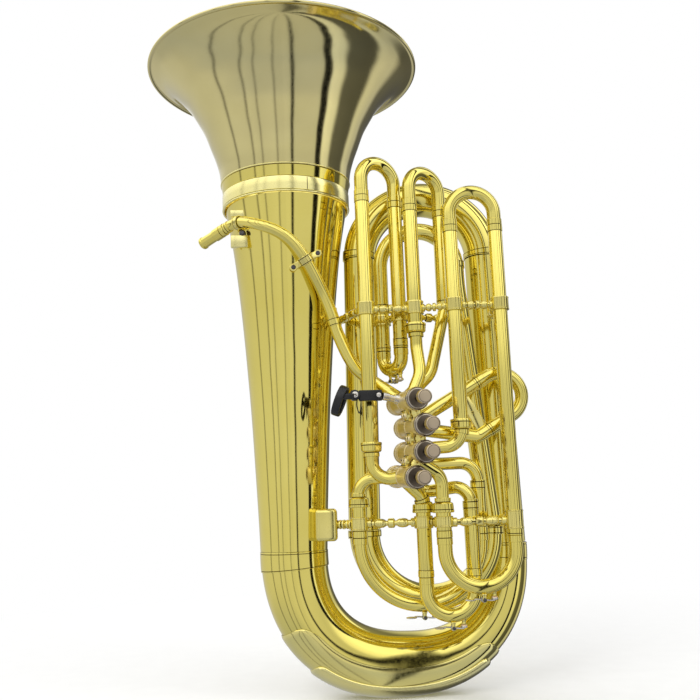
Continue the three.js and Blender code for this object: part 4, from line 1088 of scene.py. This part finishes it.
# the near-black rows are painted shade in the spindles' grooves, with tarnish
SPINDLE = [
    (0.0, 5.4), (0.03, 5.9), (0.075, 5.9), (0.085, 5.4, "seam"), (0.09, 3.7), (0.14, 3.7), (0.15, 4.4), (0.19, 5.6),
    (0.26, 6.2), (0.33, 5.6),
    (0.375, 4.2, "seam"), (0.38, 3.5), (0.425, 3.5, "seam"), (0.43, 5.2), (0.45, 6.3), (0.5, 6.4),
]
SPINDLE = SPINDLE + [(1 - q[0], q[1]) for q in reversed(SPINDLE[:-1])]


def sleeve(piece, leg, z, height):
    rows = [
        (0, 11.6), (0.4, 12.3), (1.8, 12.5), (2.2, 12.0), (height - 2.2, 12.0), (height - 1.8, 12.5),
        (height - 0.4, 12.3), (height, 11.6)
    ]
    piece.tube(upright(leg, z - height / 2, z + height / 2), rows, "brass_sleeve", taper(9.95, 9.95, height), 48)


def spindle(piece, start, end, scale=1.0):
    piece.turned(start, end, [(q[0], q[1] * scale, *q[2:]) for q in SPINDLE], "brass_sleeve")


def between(piece, leg_a, leg_b, z, scale=1.0):
    a, b = np.array([*LEG[leg_a], z], float), np.array([*LEG[leg_b], z], float)
    run = unit(b - a)
    spindle(piece, a + run * 11.2, b - run * 11.2, scale)


upper = Piece("upper_brace")
for leg in ("tuning_l", "first_l", "third_l", "third_r"):
    sleeve(upper, LEG[leg], UPPER_BRACE_Z, 18)
between(upper, "tuning_l", "first_l", UPPER_BRACE_Z - 1)
between(upper, "first_l", "third_l", UPPER_BRACE_Z - 1, scale=0.9)
between(upper, "third_l", "third_r", UPPER_BRACE_Z - 1)
plate_at = bell_surface(-78, UPPER_BRACE_Z, 0)
plate_turn = Matrix.Rotation(math.atan2(-78 - BELL_X, -plate_at[1]), 3, "Z")
upper.block((15, 2.4, 42), (-79, plate_at[1] + 1.5, UPPER_BRACE_Z), "brass_sleeve", 0.9, turn=plate_turn)
spindle(upper, (-77.5, plate_at[1] - 1, UPPER_BRACE_Z), (-51.5, -78, UPPER_BRACE_Z - 1))
spindle(upper, (138.2, -89.5, UPPER_BRACE_Z), (142.5, -25, UPPER_BRACE_Z))
upper.done()

inner_brace = Piece("inner_brace")
for leg in ("tuning_r", "water_l"):
    sleeve(inner_brace, LEG[leg], INNER_BRACE_Z, 14)
between(inner_brace, "tuning_r", "water_l", INNER_BRACE_Z, scale=0.85)
inner_brace.turned(
    (-22.5, -21.6, INNER_BRACE_Z), (-33.5, -10, INNER_BRACE_Z),
    [(0, 4.4), (0.3, 3.6), (0.6, 3.8), (0.75, 6), (1, 6.4)], "brass_sleeve", 28
)
spindle(inner_brace, (16.6, -54.2, INNER_BRACE_Z), (80.5, -38.3, INNER_BRACE_Z))
inner_brace.done()

lower = Piece("lower_brace")
lower.block((30, 30, 43), (-104, -38.5, LOWER_BRACE_Z), "brass_sleeve", 5.5, 5)
for leg, height in (("fourth_l", 17), ("aux_l", 16), ("third_low", 14), ("third_r", 24)):
    sleeve(lower, LEG[leg], LOWER_BRACE_Z, height)
spindle(lower, (-90, -45, LOWER_BRACE_Z), (-70.6, -54.5, LOWER_BRACE_Z))
between(lower, "fourth_l", "aux_l", LOWER_BRACE_Z)
between(lower, "aux_l", "third_low", LOWER_BRACE_Z, scale=0.9)
between(lower, "third_low", "third_r", LOWER_BRACE_Z - 1)
spindle(lower, (138.2, -89.5, LOWER_BRACE_Z), (146.5, -26, LOWER_BRACE_Z))
lower.done()

# ---------------------------------------------------------------- thumb ring

PIVOT = np.array([-65, -118, 394.5])


def oval_ring(centre, across, along, axis, a, b, thick, deep):
    """An oval band: its radii are a along `across` and b along `along`, and it is `deep` along `axis`."""
    sides, around = 96, 28
    verts, faces = [], []
    for i in range(sides):
        w = 2 * math.pi * i / sides
        out = unit(across * b * math.cos(w) + along * a * math.sin(w))
        mid = np.array(centre) + across * a * math.cos(w) + along * b * math.sin(w)
        for k in range(around):
            q = 2 * math.pi * k / around
            c, s = math.cos(q), math.sin(q)
            verts.append(
                mid + out * thick / 2 * math.copysign(abs(c) ** 0.6,
                c) + axis * deep / 2 * math.copysign(abs(s) ** 0.45, s)
            )
        faces += girdle(i * around, (i + 1) % sides * around, around)
    return verts, faces


lean, yaw = math.radians(22), np.array(Matrix.Rotation(math.radians(-15), 3, "Z"))
ring_frame = [
    yaw @ np.array(v) for v in ([0, 1, 0], [math.sin(lean), 0, math.cos(lean)], [math.cos(lean), 0, -math.sin(lean)])
]
thumb = Piece("thumb_ring")
thumb.shell(*oval_ring((-84, -118, 388), *ring_frame, 11, 18.2, 4.4, 11), "black")
thumb.turned(PIVOT + [0, -8.2, 0], PIVOT + [0, -4.6, 0], [(0, 5.7), (0.15, 6.4), (0.85, 6.4), (1, 6.0)], "black", 48)
thumb.turned(PIVOT + [0, -9.4, 0], PIVOT + [0, -8.1, 0], [(0, 3.0), (0.3, 3.9), (1, 4.1)], "nickel", 40)
# a near-black bar on the screw's head: painted shade of its slot
thumb.block((5.6, 0.5, 0.9), PIVOT + [0, -9.45, 0], "seam", 0.1, turn=Matrix.Rotation(0.5, 3, "Y"))
thumb.turned(PIVOT + [0, -5, 0], PIVOT + [0, 5.4, 0], [(0, 2.6), (1, 2.6)], "nickel", 24)
thumb.block((17, 4.6, 8), (-74.2, -125.6, 392.5), "black", 1.6)
thumb.done("thumb_ring", "black_plastic", 50)

arm = Piece("thumb_arm")
arm.tube(
    route(PIVOT + [0, -3.9, 0], PIVOT + [0, 3.9, 0]),
    [(0, 6.5), (0.5, 7.0), (7.3, 7.0), (7.8, 6.5)], "black", taper(3.1, 3.1, 7.8), 48)
arm.block((30.5, 7.8, 14), (-44.6, -118, 393.8), "black", 1.5, 4)
arm.turned((-34, -122.9, 393.8), (-34, -121.7, 393.8), [(0, 2.2), (0.3, 3.0), (1, 3.2)], "nickel", 32)
wire = catmull([(-62, -116, 389), (-62.6, -117, 381), (-59.8, -118, 371.5), (-57.4, -118, 379), (-57, -118, 388)], 12)
arm.tube(wire, taper(0.75, 0.75, wire.span), "black", sides=12)
arm.done(slot="black_plastic")

post = Piece("thumb_arm_post")
post.turned(
    (-29, -118, 393), (-7.5, -111, 388.6),
    [(0, 5.0), (0.03, 5.5), (0.36, 5.5), (0.39, 5.0), (0.41, 4.4), (0.72, 4.4), (0.74, 5.6), (0.9, 6.2), (1, 6.6)],
    "nickel", 40)
post.done(slot="nickel")

# ---------------------------------------------------------------- stage, light and camera


def floor_material():
    """Pale near the object, and as white as the world far from it."""
    material, tree, shader, where = new_material("pale_floor")
    tones = [(0.3, (0.82, 0.82, 0.815)), (0.7, (0.84, 0.84, 0.835))]
    paint(tree, noise(tree, where, 30, 3, 0.5), tones, shader.inputs["Base Color"])
    settle(shader, Roughness=0.65)
    glow = settle(tree.nodes.new("ShaderNodeEmission"), Color=(1, 1, 1, 1), Strength=1.0)
    length = tree.nodes.new("ShaderNodeVectorMath")
    length.operation = "LENGTH"
    tree.links.new(where, length.inputs[0])
    far = settle(tree.nodes.new("ShaderNodeMapRange"), From_Min=0.25, From_Max=1.4)
    tree.links.new(length.outputs["Value"], far.inputs["Value"])
    mix = tree.nodes.new("ShaderNodeMixShader")
    tree.links.new(far.outputs["Result"], mix.inputs["Fac"])
    tree.links.new(shader.outputs["BSDF"], mix.inputs[1])
    tree.links.new(glow.outputs["Emission"], mix.inputs[2])
    tree.links.new(mix.outputs["Shader"], tree.nodes["Material Output"].inputs["Surface"])
    return material


bm = bmesh.new()
bmesh.ops.create_circle(bm, cap_ends=True, segments=96, radius=30)
mesh = bpy.data.meshes.new("floor")
bm.to_mesh(mesh)
bm.free()
mesh.materials.append(floor_material())
floor = bpy.data.objects.new("floor", mesh)
floor.location = (0, 0, -0.0005)
floor.visible_glossy = False
bpy.context.scene.collection.objects.link(floor)

world = bpy.data.worlds.new("studio")
world.use_nodes = True
bpy.context.scene.world = world
tree = world.node_tree
link = tree.links.new
background = tree.nodes["Background"]
where = tree.nodes.new("ShaderNodeTexCoord").outputs["Generated"]
split = tree.nodes.new("ShaderNodeSeparateXYZ")
link(where, split.inputs[0])
angle = tree.nodes.new("ShaderNodeMath")
angle.operation = "ARCTAN2"
link(split.outputs["X"], angle.inputs[0])
link(split.outputs["Y"], angle.inputs[1])
share = settle(tree.nodes.new("ShaderNodeMapRange"), From_Min=-math.pi, From_Max=math.pi)
link(angle.outputs[0], share.inputs["Value"])
# Degrees from the front (-Y), positive towards +X, against brightness: wide soft boxes with thin dark gaps between.
AROUND = [
    (-180, 0.8), (-128, 0.95), (-88, 1), (-84.5, 0.3), (-81, 1), (-56, 1), (-53, 0.3), (-50, 1.05), (-39.5, 1),
    (-37, 0.4),
    (-34.5, 1), (-14.5, 1.05), (-12, 0.4), (-9.5, 1), (9.0, 1.05), (10.6, 0.01), (13.4, 0.01), (15, 1), (50, 1),
    (52.5, 0.01),
    (60, 0.01), (63, 1.5), (74, 1.3), (82, 0.2), (108, 0.16), (116, 1.1), (130, 0.9), (140, 0.2), (160, 0.15),
    (180, 0.8),
]
# The upwards part of a direction against the light from there: cool and dim low down, brightest above.
HEIGHTS = [
    (-1.0, (0.55, 0.55, 0.55)), (-0.62, (0.50, 0.52, 0.60)), (-0.45, (0.56, 0.57, 0.63)), (-0.3, (0.66, 0.66, 0.69)),
    (-0.05, (0.70, 0.70, 0.70)), (0.06, (0.68, 0.68, 0.68)), (0.2, (0.64, 0.64, 0.64)), (0.28, (0.70, 0.70, 0.70)),
    (0.37, (1.05, 1.05, 1.05)), (0.6, (1.4, 1.4, 1.38)), (1.0, (1.2, 1.2, 1.2)),
]


def world_share(degrees):
    """Where a direction that many degrees from -Y towards +X falls on the ramp."""
    a = math.radians(degrees)
    return (math.atan2(math.sin(a), -math.cos(a)) + math.pi) / (2 * math.pi)


stops = sorted((world_share(d if abs(d) < 180 else math.copysign(179.9, d)), b) for d, b in AROUND)
bands = ramp(tree, share.outputs["Result"], [(p, grey(b)) for p, b in stops])
bands.color_ramp.interpolation = "EASE"
rise = settle(tree.nodes.new("ShaderNodeMapRange"), From_Min=-1)
link(split.outputs["Z"], rise.inputs["Value"])
height = ramp(tree, rise.outputs["Result"], [((z + 1) / 2, colour) for z, colour in HEIGHTS])
lid = tree.nodes.new("ShaderNodeVectorMath")
lid.operation = "MULTIPLY"
link(height.outputs["Color"], lid.inputs[0])
link(bands.outputs["Color"], lid.inputs[1])
sight = tree.nodes.new("ShaderNodeLightPath")
final = tree.nodes.new("ShaderNodeMix")
final.data_type = "RGBA"
[s for s in final.inputs if s.type == "RGBA"][1].default_value = (1, 1, 1, 1)
link(sight.outputs["Is Camera Ray"], final.inputs["Factor"])
link(lid.outputs["Vector"], [s for s in final.inputs if s.type == "RGBA"][0])
link([s for s in final.outputs if s.type == "RGBA"][0], background.inputs["Color"])


def area_light(name, place, aim, size, power):
    data = bpy.data.lights.new(name, "AREA")
    data.shape = "RECTANGLE"
    data.size, data.size_y = size
    data.energy = power
    lamp = bpy.data.objects.new(name, data)
    lamp.location = place
    lamp.rotation_euler = (Vector(aim) - Vector(place)).to_track_quat("-Z", "Y").to_euler()
    lamp.visible_camera = False
    lamp.visible_glossy = False
    bpy.context.scene.collection.objects.link(lamp)


area_light("key", (-1.6, -2.2, 2.3), (0, 0, 0.45), (1.2, 1.6), 38)
area_light("fill", (2.2, -1.6, 1.4), (0, 0, 0.45), (0.8, 1.8), 18)
area_light("rim", (0.4, 2.4, 2.0), (0, 0, 0.5), (1.6, 1.0), 22)

YAW, PITCH, ROLL = 0.072, 0.174, -0.036  # radians
LENS = 43.817
EYE = (-0.1475, -1.2084, 0.262)
camera_data = bpy.data.cameras.new("camera")
camera_data.sensor_width = 36
camera_data.lens = LENS
camera_data.clip_start, camera_data.clip_end = 0.01, 100
camera = bpy.data.objects.new("camera", camera_data)
ahead = Vector((math.sin(YAW) * math.cos(PITCH), math.cos(YAW) * math.cos(PITCH), math.sin(PITCH)))
flat = Vector((math.cos(YAW), -math.sin(YAW), 0))
over = flat.cross(ahead)
right = math.cos(ROLL) * flat + math.sin(ROLL) * over
up = -math.sin(ROLL) * flat + math.cos(ROLL) * over
camera.matrix_world = Matrix.Translation(EYE) @ Matrix((right, up, -ahead)).transposed().to_4x4()
bpy.context.scene.collection.objects.link(camera)
bpy.context.scene.camera = camera
bpy.context.scene.view_settings.view_transform = "Standard"
